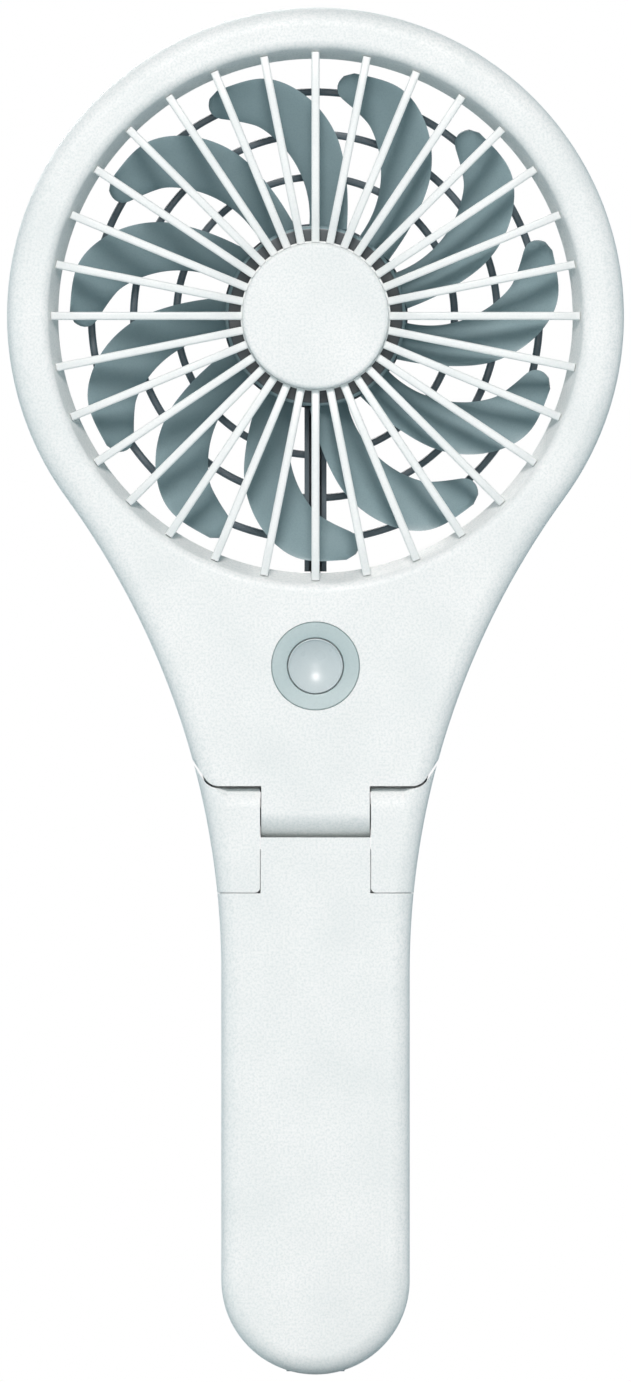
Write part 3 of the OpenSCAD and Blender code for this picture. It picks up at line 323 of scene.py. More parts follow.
# Turned brass and porous bronze.
brass = metal("turned_brass", "#C9A24E", "#AE8A3E", 0.28, 0.1, (12.0, 1.0, 12.0))
bronze = metal("sintered_bronze", "#94693A", "#7A552D", 0.5, 0.2, (1.0, 1.0, 1.0), 0.02)


def make_board():
    """Glass-epoxy board under green solder mask, with faint tracks on a 1.3 mm pitch showing through."""
    material, tree, surface, place = start_material("solder_mask_board", IOR=1.5, Roughness=0.32)
    cells = add(tree, "ShaderNodeTexVoronoi", {"Vector": place, "Scale": 1 / (1.3 * MM), "Randomness": 0.35},
                distance="CHEBYCHEV", feature="F1").outputs["Distance"]
    track = spread(tree, cells, 1.0, 0.0, 0.42, 0.5)
    tree.links.new(blend(tree, track, linear("#0F5B38"), linear("#1C7A4C")), surface.inputs["Base Color"])
    tree.links.new(bump(tree, track, 0.03), surface.inputs["Normal"])
    return material


def make_clear(name, colour, rough):
    """Clear moulded resin: glassy, with faint flow ripples."""
    material, tree, surface, place = start_material(name, IOR=1.49, **{"Transmission Weight": 0.85})
    ripple = noise(tree, place, 0.8)
    surface.inputs["Base Color"].default_value = linear(colour)
    tree.links.new(spread(tree, ripple, rough, rough + 0.1), surface.inputs["Roughness"])
    tree.links.new(bump(tree, ripple, 0.004), surface.inputs["Normal"])
    return material


board = make_board()
clear_pipe = make_clear("acrylic_light_pipe", "#EAF2F2", 0.12)
led_resin = make_clear("led_resin", "#F5E9B8", 0.2)


# ---------------------------------------------------------------- shape helpers

def arc(cx, cy, r, start, end, steps, closed=True):
    """Points of an arc, angles in degrees; an open one leaves out its last point."""
    last = steps if closed else steps - 1
    return [(cx + r * cos(radians(start + (end - start) * i / steps)),
             cy + r * sin(radians(start + (end - start) * i / steps))) for i in range(last + 1)]


def make_object(name, points, faces):
    """An object from points in millimetres, shown and linked, with its faces turned outwards."""
    mesh = bpy.data.meshes.new(name)
    mesh.from_pydata([tuple(p) for p in points], [], faces)
    made = bpy.data.objects.new(name, mesh)
    bpy.context.scene.collection.objects.link(made)
    turn_outwards(mesh)
    return made


def turn_outwards(mesh):
    work = bmesh.new()
    work.from_mesh(mesh)
    bmesh.ops.recalc_face_normals(work, faces=work.faces)
    work.to_mesh(mesh)
    work.free()


def at(x, depth, z):
    return Vector((x, FRONT + depth, z))


def loft(name, rings):
    """A solid through rings of equally many points."""
    n = len(rings[0])
    points = [p for ring in rings for p in ring]
    faces = [(i * n + j, i * n + (j + 1) % n, (i + 1) * n + (j + 1) % n, (i + 1) * n + j)
             for i in range(len(rings) - 1) for j in range(n)]
    faces += [tuple(range(n)), tuple(range((len(rings) - 1) * n, len(rings) * n))]
    return make_object(name, points, faces)


def plate(name, outline, near, far):
    """An outline in X and Z, extruded between two depths."""
    return loft(name, [[at(x, d, z) for x, z in outline] for d in (near, far)])


def side_plate(name, outline, x0, x1):
    """A side profile in depth and Z, extruded between two X places."""
    return loft(name, [[at(x, d, z) for d, z in outline] for x in (x0, x1)])


def lathe(name, profile, x=0.0, z=None, steps=192):
    """A closed profile of (radius, depth) points turned about an axis along Y."""
    z = RING_Z if z is None else z
    points, faces, rows = [], [], []
    for r, d in profile:
        if r < 1e-6:
            rows.append([len(points)] * steps)
            points.append(at(x, d, z))
        else:
            rows.append([len(points) + k for k in range(steps)])
            points += [at(x + r * cos(2 * pi * k / steps), d, z + r * sin(2 * pi * k / steps))
                       for k in range(steps)]
    for i in range(len(rows)):
        a, b = rows[i], rows[(i + 1) % len(rows)]
        for k in range(steps):
            corners = [a[k], a[(k + 1) % steps], b[(k + 1) % steps], b[k]]
            face = list(dict.fromkeys(corners))
            if len(face) > 2:
                faces.append(face)
    return make_object(name, points, faces)


def rod(name, x, z, r, near, far, steps=48):
    """A round bar along Y."""
    return lathe(name, [(0, near), (r, near), (r, far), (0, far)], x, z, steps)


def cross_rod(name, x0, x1, r, depth, z):
    """A round bar along X."""
    steps = 64
    return loft(name, [[at(x, depth + r * cos(2 * pi * k / steps), z + r * sin(2 * pi * k / steps))
                        for k in range(steps)] for x in (x0, x1)])


def block(name, x0, x1, d0, d1, z0, z1):
    return plate(name, [(x0, z0), (x1, z0), (x1, z1), (x0, z1)], d0, d1)


def combine(base, tool, how="DIFFERENCE"):
    """Cuts, joins or keeps the shared part of two closed solids; the tool is used up."""
    change = base.modifiers.new("combine", "BOOLEAN")
    change.operation = how
    change.solver = "MANIFOLD"
    change.object = tool
    old = base.data
    base.data = bpy.data.meshes.new_from_object(base.evaluated_get(bpy.context.evaluated_depsgraph_get()))
    base.modifiers.clear()
    bpy.data.meshes.remove(old)
    bpy.data.objects.remove(tool)
    return base


def cut(base, *tools):
    for tool in tools:
        combine(base, tool)
    return base


def bake(made):
    """Turns an object's modifiers into plain mesh."""
    old = made.data
    made.data = bpy.data.meshes.new_from_object(made.evaluated_get(bpy.context.evaluated_depsgraph_get()))
    made.modifiers.clear()
    bpy.data.meshes.remove(old)


def finish(made, material, body, nodes, crease=32, round_mm=0.0, dissolve=True):
    """Cleans a piece, eases its sharp edges, turns it to metres and hands it to its body."""
    mesh = made.data
    work = bmesh.new()
    work.from_mesh(mesh)
    bmesh.ops.remove_doubles(work, verts=work.verts, dist=0.0008)
    bmesh.ops.dissolve_degenerate(work, dist=0.0008, edges=work.edges)
    if dissolve:
        bmesh.ops.dissolve_limit(work, angle_limit=radians(0.05), verts=work.verts, edges=work.edges)
    bmesh.ops.recalc_face_normals(work, faces=work.faces)
    work.to_mesh(mesh)
    work.free()
    if round_mm:
        ease = made.modifiers.new("ease", "BEVEL")
        ease.width = round_mm
        ease.segments = 2
        ease.limit_method = "ANGLE"
        ease.angle_limit = radians(38)
        ease.use_clamp_overlap = True
    bake(made)
    made.data.transform(Matrix.Scale(MM, 4))
    made.data.shade_smooth()
    made.data.set_sharp_from_angle(angle=radians(crease))
    weigh = made.modifiers.new("weigh", "WEIGHTED_NORMAL")
    weigh.keep_sharp = True
    weigh.weight = 80
    bake(made)
    made.data.materials.clear()
    made.data.materials.append(material)
    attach(made, body)
    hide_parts(*nodes)
    return made


# ---------------------------------------------------------------- outline

def lower_outline(inset, top, closed, fine):
    return (arc(-FLANK_X, FLANK_Z, FLANK_R + inset, top, 0, 40 * fine)
            + arc(0, HALF_W, HALF_W - inset, 180, 360, 48 * fine)
            + arc(FLANK_X, FLANK_Z, FLANK_R + inset, 180, 180 - top, 40 * fine, closed))


def outline(inset, fine=1):
    """The fan's front outline, set in by an amount: ring, left flank, round end, right flank."""
    top = FLANK_ANGLE * 180 / pi
    return (arc(0, RING_Z, RING_R - inset, -top, 180 + top, 128 * fine, False)
            + lower_outline(inset, top, False, fine))


def low_outline(inset, fine=1):
    """Only the outline's part below the horns of the hinge covers."""
    return lower_outline(inset, asin((SHOULDER_Z + 10 - FLANK_Z) / FLANK_R) * 180 / pi, True, fine)


def blank(name, depth, section):
    """Solid of the outline with rounded front and back edges."""
    front = arc(EDGE_R, EDGE_R, EDGE_R, -90, -180, 10)
    back = arc(BACK_EDGE_R, depth - BACK_EDGE_R, BACK_EDGE_R, 180, 90, 8)
    return loft(name, [[at(x, d, z) for x, z in section(inset)] for inset, d in front + back])


def horn_line(dx, dz):
    cx = HORN_CORNER_X - HORN_R * tan(HORN_SLOPE / 2) + dx
    cz = SHOULDER_Z + HORN_R + dz
    return (arc(cx, cz, HORN_R, -90, -90 + HORN_SLOPE * 180 / pi, 12)
            + [(HORN_CORNER_X + 14 + dx, SHOULDER_Z + 14 * tan(HORN_SLOPE) + dz)])


def head_area(dx=0.0, dz=0.0):
    line = horn_line(dx, dz)
    top = line[-1][1]
    return line + [(80, top), (80, 260), (-80, 260), (-80, top)] + [(-x, z) for x, z in reversed(line)]


def cover_area():
    line = horn_line(SWING_GAP / 2, -SWING_GAP)
    return (arc(COVER_HALF + 0.75, COVER_Z + 0.75, 0.75, 180, 270, 8) + [(line[-1][0], COVER_Z)]
            + line[::-1] + [(COVER_HALF, COVER_TOP)])


# ---------------------------------------------------------------- head shells

def lip_profile():
    """The ring's inner lip: a rounding that runs into a steep cone down to the opening."""
    rounding = arc(OPENING_R + LIP_W, LIP_R, LIP_R, -90, -90 - LIP_TURN, 12)
    (r0, d0), (r1, d1) = rounding[-1], (OPENING_R + 0.12, LIP_DEPTH)
    cone = [(r0 + (r1 - r0) * k / 8, d0 + (d1 - d0) * k / 8) for k in range(1, 9)]
    return rounding + cone + [(OPENING_R + 0.04, LIP_DEPTH + 0.15), (OPENING_R, LIP_DEPTH + 0.4)]


def ring_opening():
    """Everything inside the ring: the rounded front lip, the bore and the seat of the rear guard."""
    return lathe("opening", [(0, -1), (OPENING_R + LIP_W, -1)] + lip_profile()
                 + [(OPENING_R, HEAD_DEPTH - GUARD_RIM), (GUARD_R + 0.05, HEAD_DEPTH - GUARD_RIM),
                    (GUARD_R + 0.05, HEAD_DEPTH + 1), (0, HEAD_DEPTH + 1)], steps=256)


def head_cavities():
    """The ring's duct, the neck chamber, and the way between them."""
    cavity_back = HEAD_DEPTH - GUARD_RIM - WALL
    bore_r = OPENING_R + WALL
    duct = lathe("duct", [(bore_r, LIP_DEPTH), (bore_r + 1.4, WALL + 0.9), (bore_r + LIP_W, WALL),
                          (RING_R - WALL, WALL + 0.8), (RING_R - WALL, cavity_back), (bore_r, cavity_back)])
    chamber = plate("chamber", outline(WALL + 0.4), WALL, HEAD_DEPTH - WALL)
    combine(chamber, plate("limit", head_area(-WALL, WALL), -1, 30), "INTERSECT")
    cut(chamber, rod("ring", 0, RING_Z, GUARD_R + WALL, -1, 30, 128),
        block("above", -60, 60, -1, 30, RING_Z - OPENING_R, 260))
    way = block("way", -20, 20, WALL + 1, cavity_back, RING_Z - GUARD_R - WALL - 2, RING_Z - GUARD_R + 1.2)
    return duct, chamber, way


def tongue():
    """The tongue between the hinge covers: its front curls back into the hinge barrel."""
    curl = [(CURL_DEPTH * (1 + x), TONGUE_BOTTOM + CURL_H * (1 + z)) for x, z in arc(0, 0, 1, 180, 270, 24)]
    profile = ([(0, SHOULDER_Z + 1)] + curl
               + arc(AXIS_D, AXIS_Z, BARREL_R, -90, 90, 36)
               + [(HEAD_DEPTH, AXIS_Z + BARREL_R), (HEAD_DEPTH, SHOULDER_Z + 1)])
    return side_plate("tongue", profile, -TONGUE_HALF, TONGUE_HALF)


def head_half(name, near, far):
    """One half of the head, between two depths."""
    half = blank(name, HEAD_DEPTH, outline)
    combine(half, plate("area", head_area(), -2, 30), "INTERSECT")
    rib = combine(plate("rib", outline(RIB_INSET), RIB_FRONT, RIB_BACK),
                  plate("area", head_area(0.5, -RIB_H), -2, 30), "INTERSECT")
    combine(half, rib, "UNION")
    combine(half, tongue(), "UNION")
    for side in (-1, 1):
        inner, outer = sorted((side * (TONGUE_HALF - 1), side * (TONGUE_HALF + 0.1)))
        combine(half, cross_rod("thrust_face", inner, outer, BARREL_R - 0.2, AXIS_D, AXIS_Z), "UNION")
    cut(half, ring_opening(), *head_cavities())
    for x, z in HEAD_SCREWS:
        combine(half, rod("boss", x, z, BOSS_R, WALL - 0.2, HEAD_DEPTH - WALL + 0.2), "UNION")
    return combine(half, block("slab", -80, 80, near, far, -1, 260), "INTERSECT")


def make_head_front_shell():
    shell = head_half("head_front", -1, SEAM)
    cut(shell, rod("seat", 0, BUTTON_Z, BEZEL_R + 0.05, -1, WALL + 1, 96))
    finish(shell, white_abs, "head", ["head_front_shell"], round_mm=0.13)


def make_head_rear_shell():
    shell = head_half("head_back", SEAM, 40)
    cut(shell, cross_rod("pin_bore", -TONGUE_HALF - 1, -2, 1.55, AXIS_D, AXIS_Z),
        cross_rod("bush_bore", 2, TONGUE_HALF + 1, 2.05, AXIS_D, AXIS_Z))
    for x, z in HEAD_SCREWS:
        cut(shell, rod("way", x, z, SCREW_WAY_R, SEAM - 1, 30),
            rod("counterbore", x, z, HEAD_SEAT_R, 16.9, 30))
    lead = rod("lead_way", 0, 0, 1.3, -4, 4)
    lead.data.transform(Matrix.Translation((0, GUARD_FRONT + 0.7, RING_Z - GUARD_R - WALL + 1))
                        @ Matrix.Translation((0, FRONT, 0)) @ Matrix.Rotation(pi / 2, 4, "X")
                        @ Matrix.Translation((0, -FRONT, 0)))
    cut(shell, lead)
    finish(shell, white_abs, "head", ["head_rear_shell"], round_mm=0.13)


# ---------------------------------------------------------------- handle

def handle_top():
    """Side profile of the handle's top between the covers: lip, hollow seat and flat."""
    seat_r = TONGUE_FRONT_R + SWING_GAP
    seat_c = TONGUE_BOTTOM + TONGUE_FRONT_R
    drop = seat_c - LIP_Z
    lip_d = TONGUE_FRONT_R - sqrt(seat_r ** 2 - drop ** 2)
    return ([(-1, COVER_Z - 20), (-1, LIP_Z), (lip_d, LIP_Z)]
            + arc(TONGUE_FRONT_R, seat_c, seat_r, 180 + asin(drop / seat_r) * 180 / pi, 270, 16)
            + [(HANDLE_DEPTH + 1, SEAT_Z), (HANDLE_DEPTH + 1, COVER_Z - 20)])


def socket_section(grow):
    """Stadium-shaped section of the charging socket, grown by an amount."""
    r = 1.6 + grow
    return arc(2.87, 0, r, -90, 90, 16) + arc(-2.87, 0, r, 90, 270, 16)


def cover_rib(side, grow):
    """Hidden rib beside and under one hinge cover, grown by an amount."""
    near, far = RIB_FRONT - grow, RIB_BACK + grow
    inner = COVER_HALF - 0.4
    upright = block("rib", inner, COVER_HALF + RIB_H + grow, near, far, COVER_Z - 1, SEAT_Z - 0.3 + grow)
    combine(upright, block("foot", inner, 30, near, far, COVER_Z - 1, COVER_Z + RIB_H + grow), "UNION")
    combine(upright, plate("edge", low_outline(0.35 - grow), -1, 30), "INTERSECT")
    if side < 0:
        upright.data.transform(Matrix.Scale(-1, 4, (1, 0, 0)))
        upright.data.flip_normals()
    return upright


def handle_half(name, near, far):
    """One half of the handle, between two depths."""
    half = blank(name, HANDLE_DEPTH, low_outline)
    reach = block("reach", -40, 40, -2, 40, -1, COVER_Z - SEAM_GAP)
    combine(reach, side_plate("top", handle_top(), -COVER_HALF + SEAM_GAP, COVER_HALF - SEAM_GAP), "UNION")
    combine(half, reach, "INTERSECT")
    for side in (-1, 1):
        combine(half, cover_rib(side, 0.0), "UNION")
    hollow = plate("hollow", low_outline(WALL), WALL, HANDLE_DEPTH - WALL)
    inner = block("inner", -40, 40, -2, 40, -1, COVER_Z - WALL)
    combine(inner, block("tower", -COVER_HALF + WALL, COVER_HALF - WALL, -2, 40, 20, SEAT_Z - WALL), "UNION")
    cut(half, combine(hollow, inner, "INTERSECT"))
    for x, z in HANDLE_SCREWS:
        combine(half, rod("boss", x, z, BOSS_R, WALL - 0.2, HANDLE_DEPTH - WALL + 0.2), "UNION")
    socket_low, socket_high = box_mm("usb_socket")
    middle = (socket_low[1] + socket_high[1]) / 2
    section = socket_section(0.12)
    cut(half, loft("socket_way", [[Vector((x, middle + y, z)) for x, y in section] for z in (-1, 8)]))
    for side in (-1, 1):
        x0, x1 = sorted((side * ARM_X[0], side * ARM_X[1]))
        cut(half, block("arm_way", x0, x1, *ARM_D, COVER_Z - WALL - 1, COVER_Z + 1))
    cut(half, block("lead_way", *LEAD_X, *LEAD_D, COVER_Z - WALL - 1, COVER_Z + 1))
    return combine(half, block("slab", -80, 80, near, far, -2, 260), "INTERSECT")


def make_handle_shells():
    front = handle_half("handle_front", -1, SEAM)
    finish(front, white_abs, "handle", ["handle_front_shell"], round_mm=0.13)
    back = handle_half("handle_back", SEAM, 40)
    for x, z in HANDLE_SCREWS:
        cut(back, rod("way", x, z, SCREW_WAY_R, SEAM - 1, 30),
            rod("counterbore", x, z, HEAD_SEAT_R, 19.9, 30))
    light_low, light_high = box_mm("charge_light_pipe")
    cut(back, rod("light_way", 0, (light_low[2] + light_high[2]) / 2, 1.15, SEAM - 1, 30))
    finish(back, white_abs, "handle", ["handle_rear_shell"], round_mm=0.13)


def cover_profile(x):
    """Side profile of a hinge cover at one X place; the rounded top edge runs out towards the horn."""
    share = min(1.0, max(0.0, (RUN_OUT_END - x) / (RUN_OUT_END - RUN_OUT_START)))
    r = EDGE_R * share + 0.01
    start = -0.8 * (1 - share)
    profile = ([(-1, COVER_Z - 1), (start, COVER_TOP - r)] + arc(start + r, COVER_TOP - r, r, 176, 90, 14)
               + [(start + r + 0.4 * share, COVER_TOP + 12), (AXIS_D, COVER_TOP + 12)]
               + arc(AXIS_D, AXIS_Z, BARREL_R, 90, -60, 32) + [(HANDLE_DEPTH + 2, COVER_Z - 1)])
    return [at(x, d, z) for d, z in profile]


def make_hinge_cover(side):
    """Cover over one hinge arm: rounded front top edge, horn beside the neck, barrel behind."""
    name = "right" if side > 0 else "left"
    cover = blank("hinge_cover_" + name + "_skin", HANDLE_DEPTH, low_outline)
    barrel = side_plate("barrel", arc(AXIS_D, AXIS_Z, BARREL_R, 110, -110, 40), COVER_HALF, HALF_W + 6)
    combine(barrel, plate("barrel_side", low_outline(0.8), HANDLE_DEPTH - BARREL_R, 40), "INTERSECT")
    combine(cover, barrel, "UNION")
    run = RUN_OUT_END - RUN_OUT_START
    places = [RUN_OUT_START + run * i / 4 for i in range(5)]
    combine(cover, loft("profile", [cover_profile(x) for x in [0] + places + [HALF_W + 12]]), "INTERSECT")
    combine(cover, plate("area", cover_area(), -2, 40), "INTERSECT")
    groove = combine(plate("groove", head_area(0.65, -RIB_H - 0.3), RIB_FRONT - 0.2, RIB_BACK + 0.55),
                     plate("groove_side", low_outline(0.55), -2, 30), "INTERSECT")
    cut(cover, cover_rib(1, 0.05), groove,
        cross_rod("eye_pocket", COVER_HALF - 1, 12.6, 3.4, AXIS_D, AXIS_Z),
        block("arm_pocket", ARM_X[0] - 0.05, ARM_X[1] + 0.05, ARM_D[0] - 0.05, ARM_D[1] + 0.05,
              COVER_Z - 1, AXIS_Z),
        block("lead_pocket", LEAD_X[0] - 0.4, LEAD_X[1], *LEAD_D, COVER_Z - 1, COVER_Z + 8))
    if side < 0:
        cover.data.transform(Matrix.Scale(-1, 4, (1, 0, 0)))
        cover.data.flip_normals()
    finish(cover, white_abs, "handle", ["hinge_cover_" + name], round_mm=0.13)


# ---------------------------------------------------------------- geometry-node repeats

def repeat_round(name, unit, count, material, start_deg=0.0):
    """Repeats a unit object evenly about the ring's axis with a node tree, as one plain mesh."""
    tree = bpy.data.node_groups.new(name + "_round", "GeometryNodeTree")
    face = tree.interface
    face.new_socket("Geometry", in_out="INPUT", socket_type="NodeSocketGeometry")
    ids = {}
    for label, kind in (("Unit", "NodeSocketObject"), ("Count", "NodeSocketInt"),
                        ("Axis height", "NodeSocketFloat"), ("Start angle", "NodeSocketFloat"),
                        ("Finish", "NodeSocketMaterial")):
        ids[label] = face.new_socket(label, in_out="INPUT", socket_type=kind).identifier
    face.new_socket("Geometry", in_out="OUTPUT", socket_type="NodeSocketGeometry")
    given = add(tree, "NodeGroupInput").outputs
    source = add(tree, "GeometryNodeObjectInfo", {"Object": given["Unit"]})
    points = add(tree, "GeometryNodePoints", {"Count": given["Count"]})
    index = add(tree, "GeometryNodeInputIndex").outputs["Index"]
    share = add(tree, "ShaderNodeMath", {0: index, 1: given["Count"]}, operation="DIVIDE").outputs[0]
    turn = add(tree, "ShaderNodeMath", {0: share, 1: 2 * pi, 2: given["Start angle"]},
               operation="MULTIPLY_ADD").outputs[0]
    angle = add(tree, "ShaderNodeCombineXYZ", {"Y": turn}).outputs[0]
    placed = add(tree, "GeometryNodeInstanceOnPoints",
                 {"Points": points.outputs[0], "Instance": source.outputs["Geometry"], "Rotation": angle})
    height = add(tree, "ShaderNodeCombineXYZ", {"Z": given["Axis height"]}).outputs[0]
    lifted = add(tree, "GeometryNodeTranslateInstances",
                 {"Instances": placed.outputs[0], "Translation": height})
    lifted.inputs["Local Space"].default_value = False
    real = add(tree, "GeometryNodeRealizeInstances", {"Geometry": lifted.outputs[0]})
    painted = add(tree, "GeometryNodeSetMaterial", {"Geometry": real.outputs[0], "Material": given["Finish"]})
    add(tree, "NodeGroupOutput", {"Geometry": painted.outputs[0]})
    mesh = bpy.data.meshes.new(name)
    made = bpy.data.objects.new(name, mesh)
    bpy.context.scene.collection.objects.link(made)
    maker = made.modifiers.new("round", "NODES")
    maker.node_group = tree
    maker[ids["Unit"]] = unit
    maker[ids["Count"]] = count
    maker[ids["Axis height"]] = RING_Z
    maker[ids["Start angle"]] = radians(start_deg)
    maker[ids["Finish"]] = material
    bake(made)
    bpy.data.objects.remove(unit)
    return made


def smooth_curve(knots, x):
    """Value at x on a smooth line through (x, y) knots."""
    for i in range(len(knots) - 1):
        (x0, y0), (x1, y1) = knots[i], knots[i + 1]
        if x <= x1 or i == len(knots) - 2:
            before = knots[max(i - 1, 0)]
            after = knots[min(i + 2, len(knots) - 1)]
            m0 = (y1 - before[1]) / (x1 - before[0])
            m1 = (after[1] - y0) / (after[0] - x0)
            t = min(max((x - x0) / (x1 - x0), 0), 1)
            h = x1 - x0
            return ((2 * t ** 3 - 3 * t ** 2 + 1) * y0 + (t ** 3 - 2 * t ** 2 + t) * h * m0
                    + (3 * t ** 2 - 2 * t ** 3) * y1 + (t ** 3 - t ** 2) * h * m1)


def make_front_grille():
    """Arched spokes with rounded front edges, from the ring's lip to the hub behind the cap."""
    crown = [(CAP_R, 1.75), (CAP_R + 1.6, 1.3), (CAP_R + 4.4, 0.62), (CAP_R + 8, 0.32), (CAP_R + 13, 0.25),
             (OPENING_R - 5.5, 0.25), (OPENING_R - 3, 0.36), (OPENING_R - 0.8, 0.75), (OPENING_R + 0.5, 1.15),
             (OPENING_R + 1.2, 1.42)]
    ease = 0.32
    rings = []
    steps = 44
    for i in range(steps + 1):
        r = CAP_R + 0.05 + (OPENING_R + 1.1 - CAP_R - 0.05) * i / steps
        front = smooth_curve(crown, r)
        half = SPOKE_W / 2
        section = [(-half, SPOKE_BACK), (-half, front + ease)]
        section += arc(-half + ease, front + ease, ease, 180, 270, 5)[1:]
        section += arc(half - ease, front + ease, ease, 270, 360, 5)
        section += [(half, SPOKE_BACK)]
        rings.append([Vector((r, FRONT + d, t)) for t, d in section])
    unit = loft("spoke", rings)
    grille = repeat_round("front_grille_spokes", unit, SPOKES, grille_abs)
    hub_back = CAP_DEPTH + 1.6
    hub = lathe("hub", [(0, CAP_DEPTH), (CAP_R + 0.15, CAP_DEPTH), (CAP_R + 0.25, CAP_DEPTH + 0.1),
                        (CAP_R + 0.25, hub_back - 0.1), (CAP_R + 0.1, hub_back), (0, hub_back)])
    combine(grille, hub, "UNION")
    finish(grille, grille_abs, "head", ["front_grille"], dissolve=False)


def make_hub_cap():
    """Flat cap with a small rounded edge."""
    edge = arc(CAP_R - 0.7, 0.7, 0.7, -90, 0, 8)
    profile = [(0, 0), (CAP_R - 0.75, 0)] + edge + [(CAP_R, CAP_DEPTH), (0, CAP_DEPTH)]
    finish(lathe("hub_cap_disc", profile), white_abs, "head", ["hub_cap"])


# ---------------------------------------------------------------- impeller

def on_line(points, t):
    """Point at share t of a line's length."""
    lengths = [0.0]
    for a, b in zip(points, points[1:]):
        lengths.append(lengths[-1] + sqrt((a[0] - b[0]) ** 2 + (a[1] - b[1]) ** 2))
    goal = t * lengths[-1]
    for i in range(len(points) - 1):
        if goal <= lengths[i + 1] or i == len(points) - 2:
            k = (goal - lengths[i]) / max(lengths[i + 1] - lengths[i], 1e-9)
            return [points[i][j] + (points[i + 1][j] - points[i][j]) * k for j in (0, 1)]


def soften(points, rounds):
    """Evenly spaces a line's points and rounds off the joints between its arcs."""
    line = [on_line(points, i / 80) for i in range(81)]
    for _ in range(rounds):
        eased = [[(a[j] + 2 * b[j] + c[j]) / 4 for j in (0, 1)] for a, b, c in zip(line, line[1:], line[2:])]
        line = [line[0]] + eased + [line[-1]]
    return line


def blade_edges():
    """Plan of one blade with its nose on the X axis: the convex and the concave edge, root to tip."""
    convex = (arc(30.4, 21.2, 37.92, -123.4, -101.8, 16) + arc(24.5, -0.6, 15.3, -98, -38.5, 20)
              + arc(0, 0, BLADE_TIP_R, -14.6, -4, 8))
    concave = (arc(21.46, 7.9, 16.07, -124, -57.5, 20) + arc(7.7, 15.6, 30.86, -43, -32.2, 10)
               + arc(35.4, -2.3, 2.17, 138, 35, 10))
    return soften(convex, 40), soften(concave, 6)


def make_impeller():
    """Hub bell with eleven sickle blades, their convex edges forward."""
    convex, concave = blade_edges()
    spans, chords = 48, 10
    front_d = box_mm("impeller")[0][1] - FRONT
    blade_d = front_d + 0.5
    lead = blade_d + BLADE_T + 0.2
    root_rise = blade_d + BLADE_DEPTH - BLADE_T / 2 - lead
    rings = []
    for i in range(spans + 1):
        t = i / spans
        a, b = on_line(convex, t), on_line(concave, t)
        rise = root_rise - 2.4 * t
        loop = []
        for side in (-1, 1):
            order = range(chords + 1) if side < 0 else range(chords, -1, -1)
            for j in order:
                u = 0.5 - 0.5 * cos(pi * j / chords)
                d = lead + 1.2 * t + rise * (u + 0.2 * u * (1 - u))
                half = BLADE_T / 2 * (1 - (2 * abs(u - 0.5)) ** 6 * 0.75)
                loop.append(at(a[0] + (b[0] - a[0]) * u, d + side * half, a[1] + (b[1] - a[1]) * u))
        rings.append(loop)
    unit = loft("blade", rings)
    blades = repeat_round("impeller_blades", unit, BLADES, impeller_abs, -52.2)
    inside_d = front_d + 0.85
    shell_back = front_d + 9.05
    bell = lathe("bell", [(0, front_d)] + arc(HUB_R - 0.7, front_d + 0.7, 0.7, -90, 0, 6)
                 + [(HUB_R, shell_back), (HUB_BORE_R, shell_back), (HUB_BORE_R, inside_d), (0, inside_d)])
    combine(blades, bell, "UNION")
    cut(blades, lathe("inside", [(0, inside_d), (HUB_BORE_R, inside_d), (HUB_BORE_R, shell_back + 3),
                                 (0, shell_back + 3)]))
    finish(blades, impeller_abs, "rotor", ["impeller"], dissolve=False, crease=40)


# ---------------------------------------------------------------- rear guard

